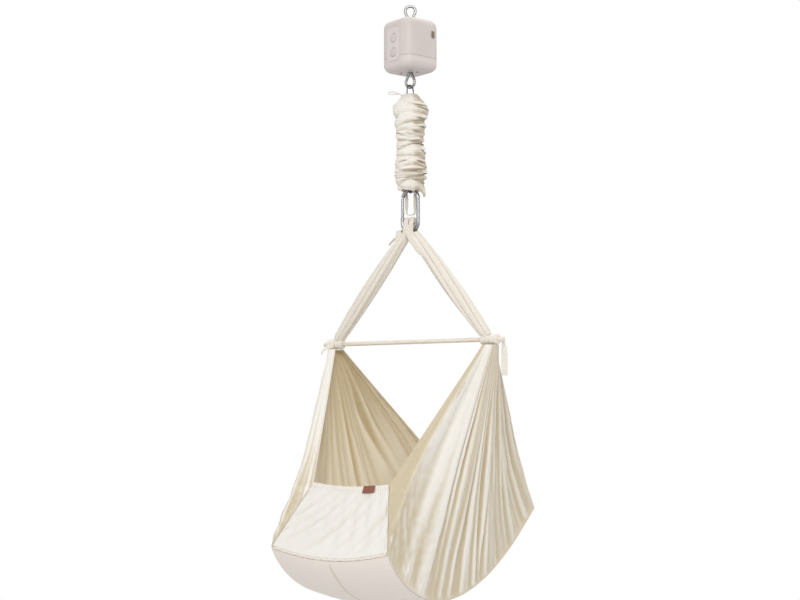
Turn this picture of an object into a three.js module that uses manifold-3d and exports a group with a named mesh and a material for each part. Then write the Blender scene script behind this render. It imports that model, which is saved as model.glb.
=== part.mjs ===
// Hanging baby cradle: an electric lifting unit on a ceiling eye, a covered spring,
// a snap hook, two cloth slings, a wooden spreader bar and a sewn cloth cradle.
// Millimetres, +Z up. The origin is where the ceiling hook bears inside the top eye.
// X runs along the spreader bar and Y along the cradle, front end at -Y.

import * as THREE from 'three';
import { mergeVertices } from 'three/addons/utils/BufferGeometryUtils.js';
import Module from 'manifold-3d';

const wasm = await Module();
wasm.setup();

// Clearances
const SEAT = 0.3;
const OVERRUN = 5;
const MERGE_STEP = 0.0001;

// Eyes: pear-shaped rings of round bar with a collar and a threaded stud
const EYE_WIRE = 8;
const EYE_RING_RADIUS = 14.5;
const EYE_HEIGHT = 45;
const EYE_NECK_HALF = 2;
const EYE_COLLAR_RADIUS = 7;
const EYE_COLLAR_RISE = 3;
const EYE_COLLAR_DEPTH = 3.3;
const EYE_STUD_RADIUS = 4;
const EYE_STUD_LENGTH = 14;
const TOP_EYE_YAW = 30;
const BOTTOM_EYE_YAW = 3;

// Lifting unit: housing
const HOUSING_YAW = -17.5;
const HOUSING_WIDTH = 125;
const HOUSING_DEPTH = 125;
const HOUSING_HEIGHT = 148;
const HOUSING_CORNER = 32;
const HOUSING_EDGE = 22;
const HOUSING_WALL = 3;
const HOUSING_SEAM_DROP = 112;
const SEAM_GAP = 0.5;

// Lifting unit: panel, buttons and board
const PANEL_WIDTH = 54;
const PANEL_HEIGHT = 98;
const PANEL_CORNER = 13;
const PANEL_DROP = 74;
const PANEL_PROUD = 0.6;
const PANEL_LIP = 2.5;
const PANEL_LIP_THICKNESS = 2;
const PANEL_POST_RADIUS = 2.5;
const PANEL_POST_LENGTH = 7;
const BUTTON_RADIUS = 12.5;
const BUTTON_PROUD = 1;
const BUTTON_FLANGE = 2;
const BUTTON_FLANGE_THICKNESS = 1;
const BUTTON_TRAVEL = 1.2;
const BUTTON_STEM_RADIUS = 2;
const BUTTON_STEM_LENGTH = 2;
const BUTTON_EDGE = 1;
const BUTTON_UPPER_DROP = 57;
const BUTTON_LOWER_DROP = 98;
const BOARD_THICKNESS = 1.6;
const BOARD_MARGIN = 2;
const SWITCH_SIZE = 6;

// Lifting unit: power inlet, tag and screws
const INLET_DROP = 94;
const INLET_BARREL_RADIUS = 5.6;
const INLET_BORE_RADIUS = 4.5;
const INLET_BORE_DEPTH = 7;
const INLET_BODY = 14;
const INLET_BODY_DEPTH = 9;
const TAG_WIDTH = 10;
const TAG_HEIGHT = 19;
const TAG_THICKNESS = 1.6;
const TAG_BACK = 31;
const TAG_DROP = 45;
const SCREW_RADIUS = 1.5;
const SCREW_HEAD_RADIUS = 3.2;
const SCREW_HEAD = 2;
const SCREW_LENGTH = 11;

// Lifting unit: steel chassis and drive
const PLATE = 2.5;
const CHASSIS_WIDTH = 56;
const CHASSIS_FRONT = 24;
const CHASSIS_BACK = 14;
const NUT_RADIUS = 7.5;
const NUT_HEIGHT = 6.5;
const RACK_MODULE = 2;
const RACK_PINION_TEETH = 12;
const RACK_TEETH = 11;
const RACK_WIDTH = 12;
const RACK_BODY_BACK = 8;
const RACK_PITCH_LINE = 6;
const RACK_TOP_DROP = 28;
const RACK_BOTTOM_DROP = 99;
const GEAR_MODULE = 1.5;
const DRIVE_GEAR_TEETH = 36;
const MOTOR_PINION_TEETH = 12;
const GEAR_WIDTH = 6;
const GEAR_HUB_RADIUS = 6;
const AXLE_DROP = 74;
const AXLE_RADIUS = 3;
const AXLE_HEAD = 5;
const AXLE_HEAD_THICKNESS = 1.5;
const MOTOR_ANGLE = 80;
const MOTOR_RADIUS = 16;
const MOTOR_BACK_ROOM = 8.7;
const MOTOR_BOSS_RADIUS = 5.5;
const MOTOR_SHAFT_RADIUS = 2.5;
const MOTOR_SHAFT_LENGTH = 10;
const GUIDE_THICKNESS = 6;
const GUIDE_HEIGHT = 20;
const BUSH_WALL = 2.2;
const BUSH_FLANGE = 2;
const BUSH_FLANGE_THICKNESS = 2.4;

// Spring, hooks and cover
const HOOK_WIRE = 4;
const HOOK_RADIUS = 16.5;
const HOOK_LEG = 18;
const COIL_RADIUS = 16.5;
const COIL_WIRE = 4;
const COIL_TURNS = 18;
const COIL_LENGTH = 231;
const PLUG_FLANGE = 4;
const PLUG_LENGTH = 12;
const COVER_RADIUS = 42;
const COVER_WALL = 9;
const COVER_FOLDS = 13.5;
const COVER_FOLD_DEPTH = 3.4;
const COVER_TOP_RISE = 6;
const COVER_OVERHANG = 22;
const COVER_SHOULDER = 20;
const COVER_FRILL = 9;
const CORD_DIAMETER = 2.6;

// Snap hook
const CARABINER_WIRE = 10.5;
const CARABINER_HALF_WIDTH = 25.75;
const CARABINER_HEIGHT = 118.5;
const GATE_DIAMETER = 9;
const GATE_HINGE_RISE = 37;
const GATE_NOSE_RISE = 99;
const GATE_TONGUE = 3.4;
const GATE_FORK_DEPTH = 11;
const PIN_RADIUS = 1.6;
const STRAP_WIDTH = 8;
const STRAP_THICKNESS = 1.8;
const STRAP_LEFT = -19;
const STRAP_RIGHT = 10;
const STRAP_CORNER = 8;

// Slings and spreader bar
const BAR_DIAMETER = 12;
const BAR_LENGTH = 596;
const BAR_DROP = 311;
const BAR_END_RADIUS = 2;
const BAR_OVERHANG = 42;
const SLING_TOP_X = 7;
const SLING_END_HALF = 15;
const SLING_MIDDLE_HALF = 24;
const SLING_END_DEPTH_HALF = 17;
const SLING_MIDDLE_DEPTH_HALF = 25;
const BUNCH_RISE = 48;
const BUNCH_HALF = 16.5;
const BUNCH_DEPTH_HALF = 17;
const SWING_CLEARANCE = 2.5;
const SLOT_CLEARANCE = 0.45;
const LOOP_LENGTH = 52;
const LOOP_RADIUS = 15;
const LOOP_WRAPS = 4;
const LOOP_WRAP_DEPTH = 2;

// Cloth cradle
const CLOTH = 3;
const SEAM_INSET = 2.2;
const GATHER_RADIUS_X = 22;
const GATHER_RADIUS_Y = 24;
const GATHER_ANGLE = 125;
const BASE_HALF_WIDTH = 182;
const BASE_HALF_LENGTH = 390;
const FRONT_BASE_DROP = 545;
const BACK_BASE_DROP = 475;
const BELLY_SAG = 172;
const BASE_CROWN = 24;
const FRONT_RIM_HALF = 121;
const FRONT_RIM_LEAN = 100;
const FRONT_RIM_RISE = 162;
const BACK_RIM_HALF = 140;
const BACK_RIM_LEAN = 50;
const BACK_RIM_RISE = 155;
const RIM_DIP = 8;
const PLEAT_DEPTH = 5;
const END_FOLD_DEPTH = 2.5;
const MATTRESS_SIDE_MARGIN = 17;
const MATTRESS_FRONT_MARGIN = 56;
const MATTRESS_BACK_MARGIN = 64;
const MATTRESS_THICKNESS = 35;
const MATTRESS_EDGE = 14;
const MATTRESS_LIFT = 2.4;
const LEATHER_WIDTH = 36;
const LEATHER_HEIGHT = 20;
const LEATHER_THICKNESS = 1.6;
const LEATHER_X = 62;
const TAPE_WIDTH = 18;
const TAPE_LENGTH = 105;
const TAPE_THICKNESS = 1.6;
const TAPE_DRIFT = 4;
const SHORT_TAPE_WIDTH = 11;
const SHORT_TAPE_LENGTH = 40;

// Shares of the sizes that they follow
const BELLY_SKEW_SHARE = 0.8;
const CORNER_PULL_SHARE = 0.6;
const CORNER_FADE_SHARE = 0.16;
const COVER_PROFILE_SHARES = [0.5, 0.93, 0.96, 0.86, 0.88, 0.84, 0.8, 0.86, 0.94, 0.97, 0.86, 0.8];
const COVER_TILT_SHARES = [0, 0.1, -0.1, 0.2, -0.5, 0.9, 0.3, -0.9, -0.4, 0.5, -0.2, 0.3, -0.2, 0];

// Facet counts
const ROUND = 16;
const WIRE_SIDES = 8;
const COIL_STEPS = 8;
const COVER_SIDES = 16;
const CARABINER_STEPS = 26;

// Places worked out from the sizes
const HOUSING_TOP = EYE_WIRE / 2 - EYE_HEIGHT;
const HOUSING_BOTTOM = HOUSING_TOP - HOUSING_HEIGHT;
const SEAM_Z = HOUSING_TOP - HOUSING_SEAM_DROP;
const FRONT_Y = -HOUSING_DEPTH / 2;
const PLATE_TOP = HOUSING_TOP - HOUSING_WALL - SEAT;
const PLATE_BOTTOM = HOUSING_BOTTOM + HOUSING_WALL + SEAT;
const ROD_RADIUS = EYE_COLLAR_RADIUS;
const BUSH_BORE = ROD_RADIUS + SEAT;
const SHELL_HOLE = BUSH_BORE + BUSH_WALL + SEAT;
const EYE2_NECK = HOUSING_BOTTOM + EYE_COLLAR_RISE;
const EYE2_Z = EYE2_NECK - EYE_HEIGHT;
const AXLE_Z = HOUSING_TOP - AXLE_DROP;
const RACK_PINION_RADIUS = RACK_MODULE * RACK_PINION_TEETH / 2;
const AXLE_X = -RACK_PITCH_LINE - RACK_PINION_RADIUS;
const DRIVE_GEAR_RADIUS = GEAR_MODULE * DRIVE_GEAR_TEETH / 2;
const MOTOR_PINION_RADIUS = GEAR_MODULE * MOTOR_PINION_TEETH / 2;
const GEAR_DISTANCE = DRIVE_GEAR_RADIUS + MOTOR_PINION_RADIUS;
const MOTOR_X = AXLE_X - GEAR_DISTANCE * Math.cos(radians(MOTOR_ANGLE));
const MOTOR_Z = AXLE_Z - GEAR_DISTANCE * Math.sin(radians(MOTOR_ANGLE));
const HOOK_TOP = EYE2_Z + EYE_WIRE / 2 + SEAT + HOOK_WIRE / 2;
const HOOK_CENTRE = HOOK_TOP - HOOK_RADIUS;
const PLUG_TOP = HOOK_CENTRE - HOOK_LEG;
const COIL_TOP = PLUG_TOP - PLUG_FLANGE - SEAT;
const COIL_BOTTOM = COIL_TOP - COIL_LENGTH;
const LOWER_PLUG_BOTTOM = COIL_BOTTOM - SEAT - PLUG_FLANGE;
const LOWER_HOOK_CENTRE = LOWER_PLUG_BOTTOM - HOOK_LEG;
const LOWER_HOOK_Z = LOWER_HOOK_CENTRE - HOOK_RADIUS;
const CARABINER_TOP = LOWER_HOOK_Z + HOOK_WIRE / 2 + SEAT + CARABINER_WIRE / 2;
const CARABINER_BOTTOM = CARABINER_TOP - CARABINER_HEIGHT;
const HINGE_Z = CARABINER_BOTTOM + GATE_HINGE_RISE;
const NOSE_Z = CARABINER_BOTTOM + GATE_NOSE_RISE;
const BAR_Z = CARABINER_BOTTOM - BAR_DROP;
const APEX_X = BAR_LENGTH / 2 - BAR_OVERHANG;
const GATHER_Z = BAR_Z - LOOP_RADIUS - SEAT;

function radians(degrees) {
  return degrees * Math.PI / 180;
}

function mix(a, b, share) {
  return a + (b - a) * share;
}

function smooth(x) {
  const t = Math.min(1, Math.max(0, x));
  return t * t * (3 - 2 * t);
}

function point(x, y, z) {
  return new THREE.Vector3(x, y, z);
}

// Joining and cutting

function bare(geometry) {
  const copy = geometry.clone();
  copy.deleteAttribute('normal');
  copy.deleteAttribute('uv');
  return mergeVertices(copy, MERGE_STEP);
}

function solid(geometry) {
  const merged = bare(geometry);
  const vertProperties = new Float32Array(merged.attributes.position.array);
  const triVerts = new Uint32Array(merged.index.array);
  return new wasm.Manifold(new wasm.Mesh({ numProp: 3, vertProperties, triVerts }));
}

function shapeOf(manifold) {
  const mesh = manifold.getMesh();
  const geometry = new THREE.BufferGeometry();
  const count = mesh.numProp;
  const places = mesh.vertProperties.length / count;
  const positions = new Float32Array(places * 3);
  for (let i = 0; i < places; i += 1) {
    for (let k = 0; k < 3; k += 1) {
      positions[i * 3 + k] = mesh.vertProperties[i * count + k];
    }
  }
  geometry.setAttribute('position', new THREE.BufferAttribute(positions, 3));
  geometry.setIndex(new THREE.BufferAttribute(new Uint32Array(mesh.triVerts), 1));
  return geometry;
}

function join(...geometries) {
  return shapeOf(geometries.map(solid).reduce((whole, piece) => whole.add(piece)));
}

function cut(geometry, ...tools) {
  return shapeOf(tools.map(solid).reduce((whole, tool) => whole.subtract(tool), solid(geometry)));
}

function common(geometry, other) {
  return shapeOf(solid(geometry).intersect(solid(other)));
}

// Basic shapes

function box(x0, x1, y0, y1, z0, z1) {
  const geometry = new THREE.BoxGeometry(x1 - x0, y1 - y0, z1 - z0);
  geometry.translate((x0 + x1) / 2, (y0 + y1) / 2, (z0 + z1) / 2);
  return geometry;
}

function rodZ(radius, z0, z1, sides = ROUND) {
  const geometry = new THREE.CylinderGeometry(radius, radius, z1 - z0, sides);
  geometry.rotateX(Math.PI / 2);
  geometry.translate(0, 0, (z0 + z1) / 2);
  return geometry;
}

function rodY(radius, y0, y1, x, z, sides = ROUND) {
  const geometry = new THREE.CylinderGeometry(radius, radius, y1 - y0, sides);
  geometry.translate(x, (y0 + y1) / 2, z);
  return geometry;
}

function rodX(radius, x0, x1, z, sides = ROUND) {
  const geometry = new THREE.CylinderGeometry(radius, radius, x1 - x0, sides);
  geometry.rotateZ(Math.PI / 2);
  geometry.translate((x0 + x1) / 2, 0, z);
  return geometry;
}

// A profile of [radius, height] pairs turned about the vertical axis
function turned(profile, sides = ROUND) {
  const points = profile.map(([radius, height]) => new THREE.Vector2(radius, height));
  const geometry = new THREE.LatheGeometry(points, sides);
  geometry.rotateX(Math.PI / 2);
  const merged = bare(geometry);
  return facingOut(Array.from(merged.attributes.position.array), Array.from(merged.index.array));
}

function roundedOutline(width, height, corner) {
  const x = width / 2;
  const y = height / 2;
  const shape = new THREE.Shape();
  shape.moveTo(x, y - corner);
  shape.absarc(x - corner, y - corner, corner, 0, Math.PI / 2, false);
  shape.absarc(corner - x, y - corner, corner, Math.PI / 2, Math.PI, false);
  shape.absarc(corner - x, corner - y, corner, Math.PI, Math.PI * 1.5, false);
  shape.absarc(x - corner, corner - y, corner, Math.PI * 1.5, Math.PI * 2, false);
  return shape;
}

// An outline drawn in X and Z, as thick as y0 to y1
function plateXZ(shape, y0, y1, curveSegments = 3) {
  const geometry = new THREE.ExtrudeGeometry(shape, { depth: y1 - y0, bevelEnabled: false, curveSegments });
  geometry.rotateX(Math.PI / 2);
  geometry.translate(0, y1, 0);
  return geometry;
}

function ellipseOutline(a, b, sides) {
  const shape = new THREE.Shape();
  for (let i = 0; i < sides; i += 1) {
    const angle = 2 * Math.PI * i / sides;
    const place = [a * Math.cos(angle), b * Math.sin(angle)];
    if (i === 0) shape.moveTo(...place);
    else shape.lineTo(...place);
  }
  shape.closePath();
  return shape;
}

function along(points, outline, steps) {
  const extrudePath = new THREE.CatmullRomCurve3(points);
  return new THREE.ExtrudeGeometry(outline, { steps, extrudePath, bevelEnabled: false });
}

function wire(points, diameter, steps, sides = WIRE_SIDES) {
  return along(points, ellipseOutline(diameter / 2, diameter / 2, sides), steps);
}

function polygon(points) {
  return new THREE.Shape(points.map(([x, y]) => new THREE.Vector2(x, y)));
}

// Closed skins: rings of points joined in order

function skin(rings, closed) {
  const sides = rings[0].length;
  const positions = rings.flat().flatMap((p) => [p.x, p.y, p.z]);
  const index = [];
  const last = closed ? rings.length : rings.length - 1;
  for (let i = 0; i < last; i += 1) {
    const next = (i + 1) % rings.length;
    for (let j = 0; j < sides; j += 1) {
      const k = (j + 1) % sides;
      index.push(i * sides + j, next * sides + j, next * sides + k);
      index.push(i * sides + j, next * sides + k, i * sides + k);
    }
  }
  if (!closed) capEnds(rings, positions, index);
  return facingOut(positions, index);
}

function capEnds(rings, positions, index) {
  const sides = rings[0].length;
  const ends = [[0, 1], [rings.length - 1, -1]];
  ends.forEach(([row, sign]) => {
    const centre = point(0, 0, 0);
    rings[row].forEach((p) => centre.addScaledVector(p, 1 / sides));
    const hub = positions.length / 3;
    positions.push(centre.x, centre.y, centre.z);
    for (let j = 0; j < sides; j += 1) {
      const a = row * sides + j;
      const b = row * sides + (j + 1) % sides;
      if (sign > 0) index.push(hub, a, b);
      else index.push(hub, b, a);
    }
  });
}

function signedVolume(positions, index) {
  const p = [point(0, 0, 0), point(0, 0, 0), point(0, 0, 0)];
  let total = 0;
  for (let i = 0; i < index.length; i += 3) {
    p.forEach((corner, k) => corner.fromArray(positions, index[i + k] * 3));
    total += p[0].dot(p[1].clone().cross(p[2])) / 6;
  }
  return total;
}

function facingOut(positions, index) {
  const outward = signedVolume(positions, index) > 0;
  const turnedIndex = outward ? index : index.map((_, i) => index[i - i % 3 + [0, 2, 1][i % 3]]);
  const geometry = new THREE.BufferGeometry();
  geometry.setAttribute('position', new THREE.Float32BufferAttribute(positions, 3));
  geometry.setIndex(turnedIndex);
  return geometry;
}

// A cloth: a surface over u and v, given a thickness either side of it
function normalAt(surface, u, v) {
  const step = 0.004;
  const u0 = Math.max(0, u - step);
  const u1 = Math.min(1, u + step);
  const v0 = Math.max(0, v - step);
  const v1 = Math.min(1, v + step);
  const du = surface(u1, v).sub(surface(u0, v));
  const dv = surface(u, v1).sub(surface(u, v0));
  return du.cross(dv).normalize();
}

function cloth(surface, uCount, vCount, thickness) {
  const rings = [];
  for (let i = 0; i <= uCount; i += 1) {
    const front = [];
    const back = [];
    for (let j = 0; j <= vCount; j += 1) {
      const u = i / uCount;
      const v = j / vCount;
      const normal = normalAt(surface, u, v);
      front.push(surface(u, v).addScaledVector(normal, thickness / 2));
      back.unshift(surface(u, v).addScaledVector(normal, -thickness / 2));
    }
    rings.push([...front, ...back]);
  }
  return clothSkin(rings, vCount);
}

// Both faces of the cloth are split along the same diagonals, so its thickness holds
function clothSkin(rings, vCount) {
  const sides = rings[0].length;
  const positions = rings.flat().flatMap((p) => [p.x, p.y, p.z]);
  const index = [];
  for (let i = 0; i < rings.length - 1; i += 1) {
    for (let j = 0; j < sides; j += 1) {
      const k = (j + 1) % sides;
      const a = i * sides;
      const b = a + sides;
      if (j > vCount) index.push(a + j, b + j, a + k, b + j, b + k, a + k);
      else index.push(a + j, b + j, b + k, a + j, b + k, a + k);
    }
  }
  for (let j = 0; j < vCount; j += 1) {
    const end = (rings.length - 1) * sides;
    const far = sides - 1 - j;
    index.push(j, j + 1, far - 1, j, far - 1, far);
    index.push(end + j, end + far - 1, end + j + 1, end + j, end + far, end + far - 1);
  }
  return facingOut(positions, index);
}

// Pear-shaped eye, drawn with its neck at height 0 and the ring above it
function pearPath() {
  const centre = EYE_HEIGHT - EYE_RING_RADIUS;
  const reach = Math.hypot(centre, EYE_NECK_HALF);
  const dip = Math.asin(EYE_RING_RADIUS / reach) - Math.atan(EYE_NECK_HALF / centre);
  const points = [point(EYE_NECK_HALF, 0, 0), point(EYE_NECK_HALF, 0, EYE_COLLAR_RISE / 2)];
  const arcSteps = 14;
  for (let i = 0; i <= arcSteps; i += 1) {
    const angle = mix(-dip, Math.PI + dip, i / arcSteps);
    const x = EYE_RING_RADIUS * Math.cos(angle);
    points.push(point(x, 0, centre + EYE_RING_RADIUS * Math.sin(angle)));
  }
  points.push(point(-EYE_NECK_HALF, 0, EYE_COLLAR_RISE / 2), point(-EYE_NECK_HALF, 0, 0));
  return points;
}

function eye() {
  const ring = wire(pearPath(), EYE_WIRE, 20, 7);
  const stud = turned([
    [0, EYE_COLLAR_RISE],
    [EYE_COLLAR_RADIUS, EYE_COLLAR_RISE],
    [EYE_COLLAR_RADIUS, -EYE_COLLAR_DEPTH],
    [EYE_STUD_RADIUS, -EYE_COLLAR_DEPTH],
    [EYE_STUD_RADIUS, -EYE_COLLAR_DEPTH - EYE_STUD_LENGTH],
    [0, -EYE_COLLAR_DEPTH - EYE_STUD_LENGTH],
  ], 16);
  return join(ring, stud);
}

function topEye() {
  const geometry = eye();
  geometry.rotateZ(radians(TOP_EYE_YAW - HOUSING_YAW));
  geometry.translate(0, 0, HOUSING_TOP);
  return geometry;
}

function bottomEye() {
  const geometry = eye();
  geometry.rotateX(Math.PI);
  geometry.rotateZ(radians(BOTTOM_EYE_YAW - HOUSING_YAW));
  geometry.translate(0, 0, EYE2_NECK);
  return geometry;
}

function eyeNut() {
  const top = PLATE_TOP - PLATE - SEAT;
  return cut(
    rodZ(NUT_RADIUS, top - NUT_HEIGHT, top, 6),
    rodZ(EYE_STUD_RADIUS + SEAT, top - NUT_HEIGHT - OVERRUN, top + OVERRUN, 16),
  );
}

// Housing shells
function roundedBlock(inset) {
  const edge = HOUSING_EDGE - inset;
  const width = HOUSING_WIDTH - 2 * inset - 2 * edge;
  const depth = HOUSING_DEPTH - 2 * inset - 2 * edge;
  const height = HOUSING_HEIGHT - 2 * inset - 2 * edge;
  const outline = roundedOutline(width, depth, HOUSING_CORNER - inset - edge);
  const geometry = new THREE.ExtrudeGeometry(outline, {
    depth: height,
    curveSegments: 3,
    bevelThickness: edge,
    bevelSize: edge,
    bevelSegments: 3,
  });
  geometry.translate(0, 0, HOUSING_BOTTOM + inset + edge);
  return geometry;
}

function panelOutline(grow) {
  return roundedOutline(PANEL_WIDTH + 2 * grow, PANEL_HEIGHT + 2 * grow, PANEL_CORNER + grow);
}

function panelPlate(grow, y0, y1) {
  const geometry = plateXZ(panelOutline(grow), y0, y1);
  geometry.translate(0, 0, HOUSING_TOP - PANEL_DROP);
  return geometry;
}

function housingShell(bottom, top) {
  const half = HOUSING_WIDTH;
  const back = HOUSING_DEPTH / 2;
  const inletZ = HOUSING_TOP - INLET_DROP;
  return cut(
    common(roundedBlock(0), box(-half, half, -half, half, bottom, top)),
    roundedBlock(HOUSING_WALL),
    panelPlate(SEAT, FRONT_Y - OVERRUN, FRONT_Y + HOUSING_WALL + OVERRUN),
    rodZ(EYE_COLLAR_RADIUS + SEAT, HOUSING_TOP - HOUSING_WALL - OVERRUN, HOUSING_TOP + OVERRUN),
    rodZ(SHELL_HOLE, HOUSING_BOTTOM - OVERRUN, HOUSING_BOTTOM + HOUSING_WALL + OVERRUN),
    rodY(INLET_BARREL_RADIUS + SEAT, back - HOUSING_WALL - OVERRUN, back + OVERRUN, 0, inletZ),
    ...screwPlaces().map(([x, y]) => {
      const hole = rodZ(SCREW_RADIUS + SEAT, HOUSING_BOTTOM - OVERRUN, PLATE_BOTTOM, 8);
      hole.translate(x, y, 0);
      return hole;
    }),
  );
}

function housingUpper() {
  return housingShell(SEAM_Z + SEAM_GAP / 2, HOUSING_TOP + OVERRUN);
}

function housingLower() {
  return housingShell(HOUSING_BOTTOM - OVERRUN, SEAM_Z - SEAM_GAP / 2);
}

function screwPlaces() {
  const x = CHASSIS_WIDTH / 2 - 2 * SCREW_HEAD_RADIUS;
  const front = 2 * SCREW_HEAD_RADIUS - CHASSIS_FRONT;
  const back = CHASSIS_BACK - 2 * SCREW_HEAD_RADIUS;
  return [[-x, front], [x, front], [-x, back], [x, back]];
}

function housingScrew([x, y]) {
  const geometry = turned([
    [0, -SCREW_HEAD],
    [SCREW_HEAD_RADIUS, -SCREW_HEAD],
    [SCREW_HEAD_RADIUS, 0],
    [SCREW_RADIUS, 0],
    [SCREW_RADIUS, SCREW_LENGTH],
    [0, SCREW_LENGTH],
  ], 10);
  geometry.translate(x, y, HOUSING_BOTTOM - SEAT);
  return geometry;
}

// Button panel, with a lip behind the wall and posts for the board
function buttonDrops() {
  return [BUTTON_UPPER_DROP, BUTTON_LOWER_DROP];
}

function postPlaces() {
  const x = PANEL_WIDTH / 2 - 2 * PANEL_POST_RADIUS;
  const z = PANEL_HEIGHT / 2 - PANEL_CORNER;
  return [[-x, -z], [x, -z], [-x, z], [x, z]];
}

function lipBack() {
  return FRONT_Y + HOUSING_WALL + SEAT + PANEL_LIP_THICKNESS;
}

function boardFront() {
  return lipBack() + PANEL_POST_LENGTH + SEAT;
}

function buttonPanel() {
  const middle = HOUSING_TOP - PANEL_DROP;
  const lipFront = FRONT_Y + HOUSING_WALL + SEAT;
  const holes = buttonDrops().map((drop) => {
    const z = HOUSING_TOP - drop;
    return rodY(BUTTON_RADIUS, FRONT_Y - PANEL_PROUD - OVERRUN, lipBack() + OVERRUN, 0, z);
  });
  const posts = postPlaces().map(([x, z]) => {
    const end = lipBack() + PANEL_POST_LENGTH;
    return rodY(PANEL_POST_RADIUS, lipFront, end, x, middle + z, 8);
  });
  const plates = join(
    panelPlate(0, FRONT_Y - PANEL_PROUD, lipBack()),
    panelPlate(PANEL_LIP, lipFront, lipBack()),
    ...posts,
  );
  return cut(plates, ...holes);
}

function button(drop) {
  const face = FRONT_Y - PANEL_PROUD - BUTTON_PROUD;
  const flangeFront = lipBack() + SEAT;
  const flangeBack = flangeFront + BUTTON_FLANGE_THICKNESS;
  const radius = BUTTON_RADIUS - SEAT;
  const geometry = turned([
    [0, -face],
    [radius - BUTTON_EDGE, -face],
    [radius, -face - BUTTON_EDGE],
    [radius, -flangeFront],
    [radius + BUTTON_FLANGE, -flangeFront],
    [radius + BUTTON_FLANGE, -flangeBack],
    [BUTTON_STEM_RADIUS, -flangeBack],
    [BUTTON_STEM_RADIUS, -flangeBack - BUTTON_STEM_LENGTH],
    [0, -flangeBack - BUTTON_STEM_LENGTH],
  ]);
  geometry.rotateX(Math.PI / 2);
  geometry.translate(0, 0, HOUSING_TOP - drop);
  return geometry;
}

function controlBoard() {
  const middle = HOUSING_TOP - PANEL_DROP;
  const front = boardFront();
  const x = PANEL_WIDTH / 2 - BOARD_MARGIN;
  const z = PANEL_HEIGHT / 2 - BOARD_MARGIN;
  const stem = lipBack() + SEAT + BUTTON_FLANGE_THICKNESS + BUTTON_STEM_LENGTH;
  const switchFront = stem + BUTTON_TRAVEL + SEAT;
  const switches = buttonDrops().map((drop) => {
    const centre = HOUSING_TOP - drop;
    const half = SWITCH_SIZE / 2;
    return box(-half, half, switchFront, front + BOARD_THICKNESS / 2, centre - half, centre + half);
  });
  return join(box(-x, x, front, front + BOARD_THICKNESS, middle - z, middle + z), ...switches);
}

function powerInlet() {
  const outside = HOUSING_DEPTH / 2;
  const inside = outside - HOUSING_WALL - SEAT;
  const z = HOUSING_TOP - INLET_DROP;
  const half = INLET_BODY / 2;
  const body = join(
    rodY(INLET_BARREL_RADIUS, inside - INLET_BODY_DEPTH / 2, outside, 0, z),
    box(-half, half, inside - INLET_BODY_DEPTH, inside, z - half, z + half),
  );
  return cut(body, rodY(INLET_BORE_RADIUS, outside - INLET_BORE_DEPTH, outside + OVERRUN, 0, z, 16));
}

function housingTag() {
  const face = HOUSING_WIDTH / 2 + SEAT;
  const outline = roundedOutline(TAG_WIDTH, TAG_HEIGHT, TAG_THICKNESS);
  const geometry = plateXZ(outline, 0, TAG_THICKNESS, 2);
  geometry.rotateZ(-Math.PI / 2);
  geometry.translate(face, TAG_BACK, HOUSING_TOP - TAG_DROP);
  return geometry;
}

// Bent chassis: top plate, back plate and bottom plate in one strip
function chassis() {
  const x = CHASSIS_WIDTH / 2;
  const back = CHASSIS_BACK + PLATE;
  const strip = polygon([
    [-CHASSIS_FRONT, PLATE_TOP],
    [-CHASSIS_FRONT, PLATE_TOP - PLATE],
    [CHASSIS_BACK, PLATE_TOP - PLATE],
    [CHASSIS_BACK, PLATE_BOTTOM + PLATE],
    [-CHASSIS_FRONT, PLATE_BOTTOM + PLATE],
    [-CHASSIS_FRONT, PLATE_BOTTOM],
    [back, PLATE_BOTTOM],
    [back, PLATE_TOP],
  ]);
  const body = new THREE.ExtrudeGeometry(strip, { depth: CHASSIS_WIDTH, bevelEnabled: false });
  body.rotateY(Math.PI / 2);
  body.rotateX(Math.PI / 2);
  body.translate(-x, 0, 0);
  const low = PLATE_BOTTOM - OVERRUN;
  return cut(
    body,
    rodZ(EYE_STUD_RADIUS + SEAT, PLATE_TOP - PLATE - OVERRUN, PLATE_TOP + OVERRUN, 16),
    rodZ(BUSH_BORE + BUSH_WALL + SEAT, low, PLATE_BOTTOM + PLATE + OVERRUN),
    rodY(AXLE_RADIUS + SEAT, CHASSIS_BACK - OVERRUN, back + OVERRUN, AXLE_X, AXLE_Z, 16),
    rodY(MOTOR_BOSS_RADIUS + SEAT, CHASSIS_BACK - OVERRUN, back + OVERRUN, MOTOR_X, MOTOR_Z, 16),
    ...screwPlaces().map(([sx, sy]) => {
      const hole = rodZ(SCREW_RADIUS + SEAT, low, PLATE_BOTTOM + PLATE + OVERRUN, 8);
      hole.translate(sx, sy, 0);
      return hole;
    }),
  );
}

// Gears
function gearOutline(teeth, module, phase) {
  const pitch = module * teeth / 2;
  const step = 2 * Math.PI / teeth;
  const rim = [
    [-0.30, pitch - 1.25 * module],
    [-0.10, pitch + 0.95 * module],
    [0.10, pitch + 0.95 * module],
    [0.30, pitch - 1.25 * module],
  ];
  const points = [];
  for (let i = 0; i < teeth; i += 1) {
    rim.forEach(([share, radius]) => {
      const angle = phase + (i + share) * step;
      points.push([radius * Math.cos(angle), radius * Math.sin(angle)]);
    });
  }
  return polygon(points);
}

function gearPlate(teeth, module, phase, y0, y1, x, z) {
  const geometry = plateXZ(gearOutline(teeth, module, phase), y0, y1);
  geometry.translate(x, 0, z);
  return geometry;
}

function gearFront() {
  return Math.max(RACK_WIDTH / 2, ROD_RADIUS) + SEAT;
}

function rackPinion() {
  const half = RACK_WIDTH / 2;
  const body = gearPlate(RACK_PINION_TEETH, RACK_MODULE, 0, -half, half, AXLE_X, AXLE_Z);
  return cut(body, rodY(AXLE_RADIUS + SEAT, -half - OVERRUN, half + OVERRUN, AXLE_X, AXLE_Z, 16));
}

function meshAngle() {
  return Math.atan2(MOTOR_Z - AXLE_Z, MOTOR_X - AXLE_X);
}

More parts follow.
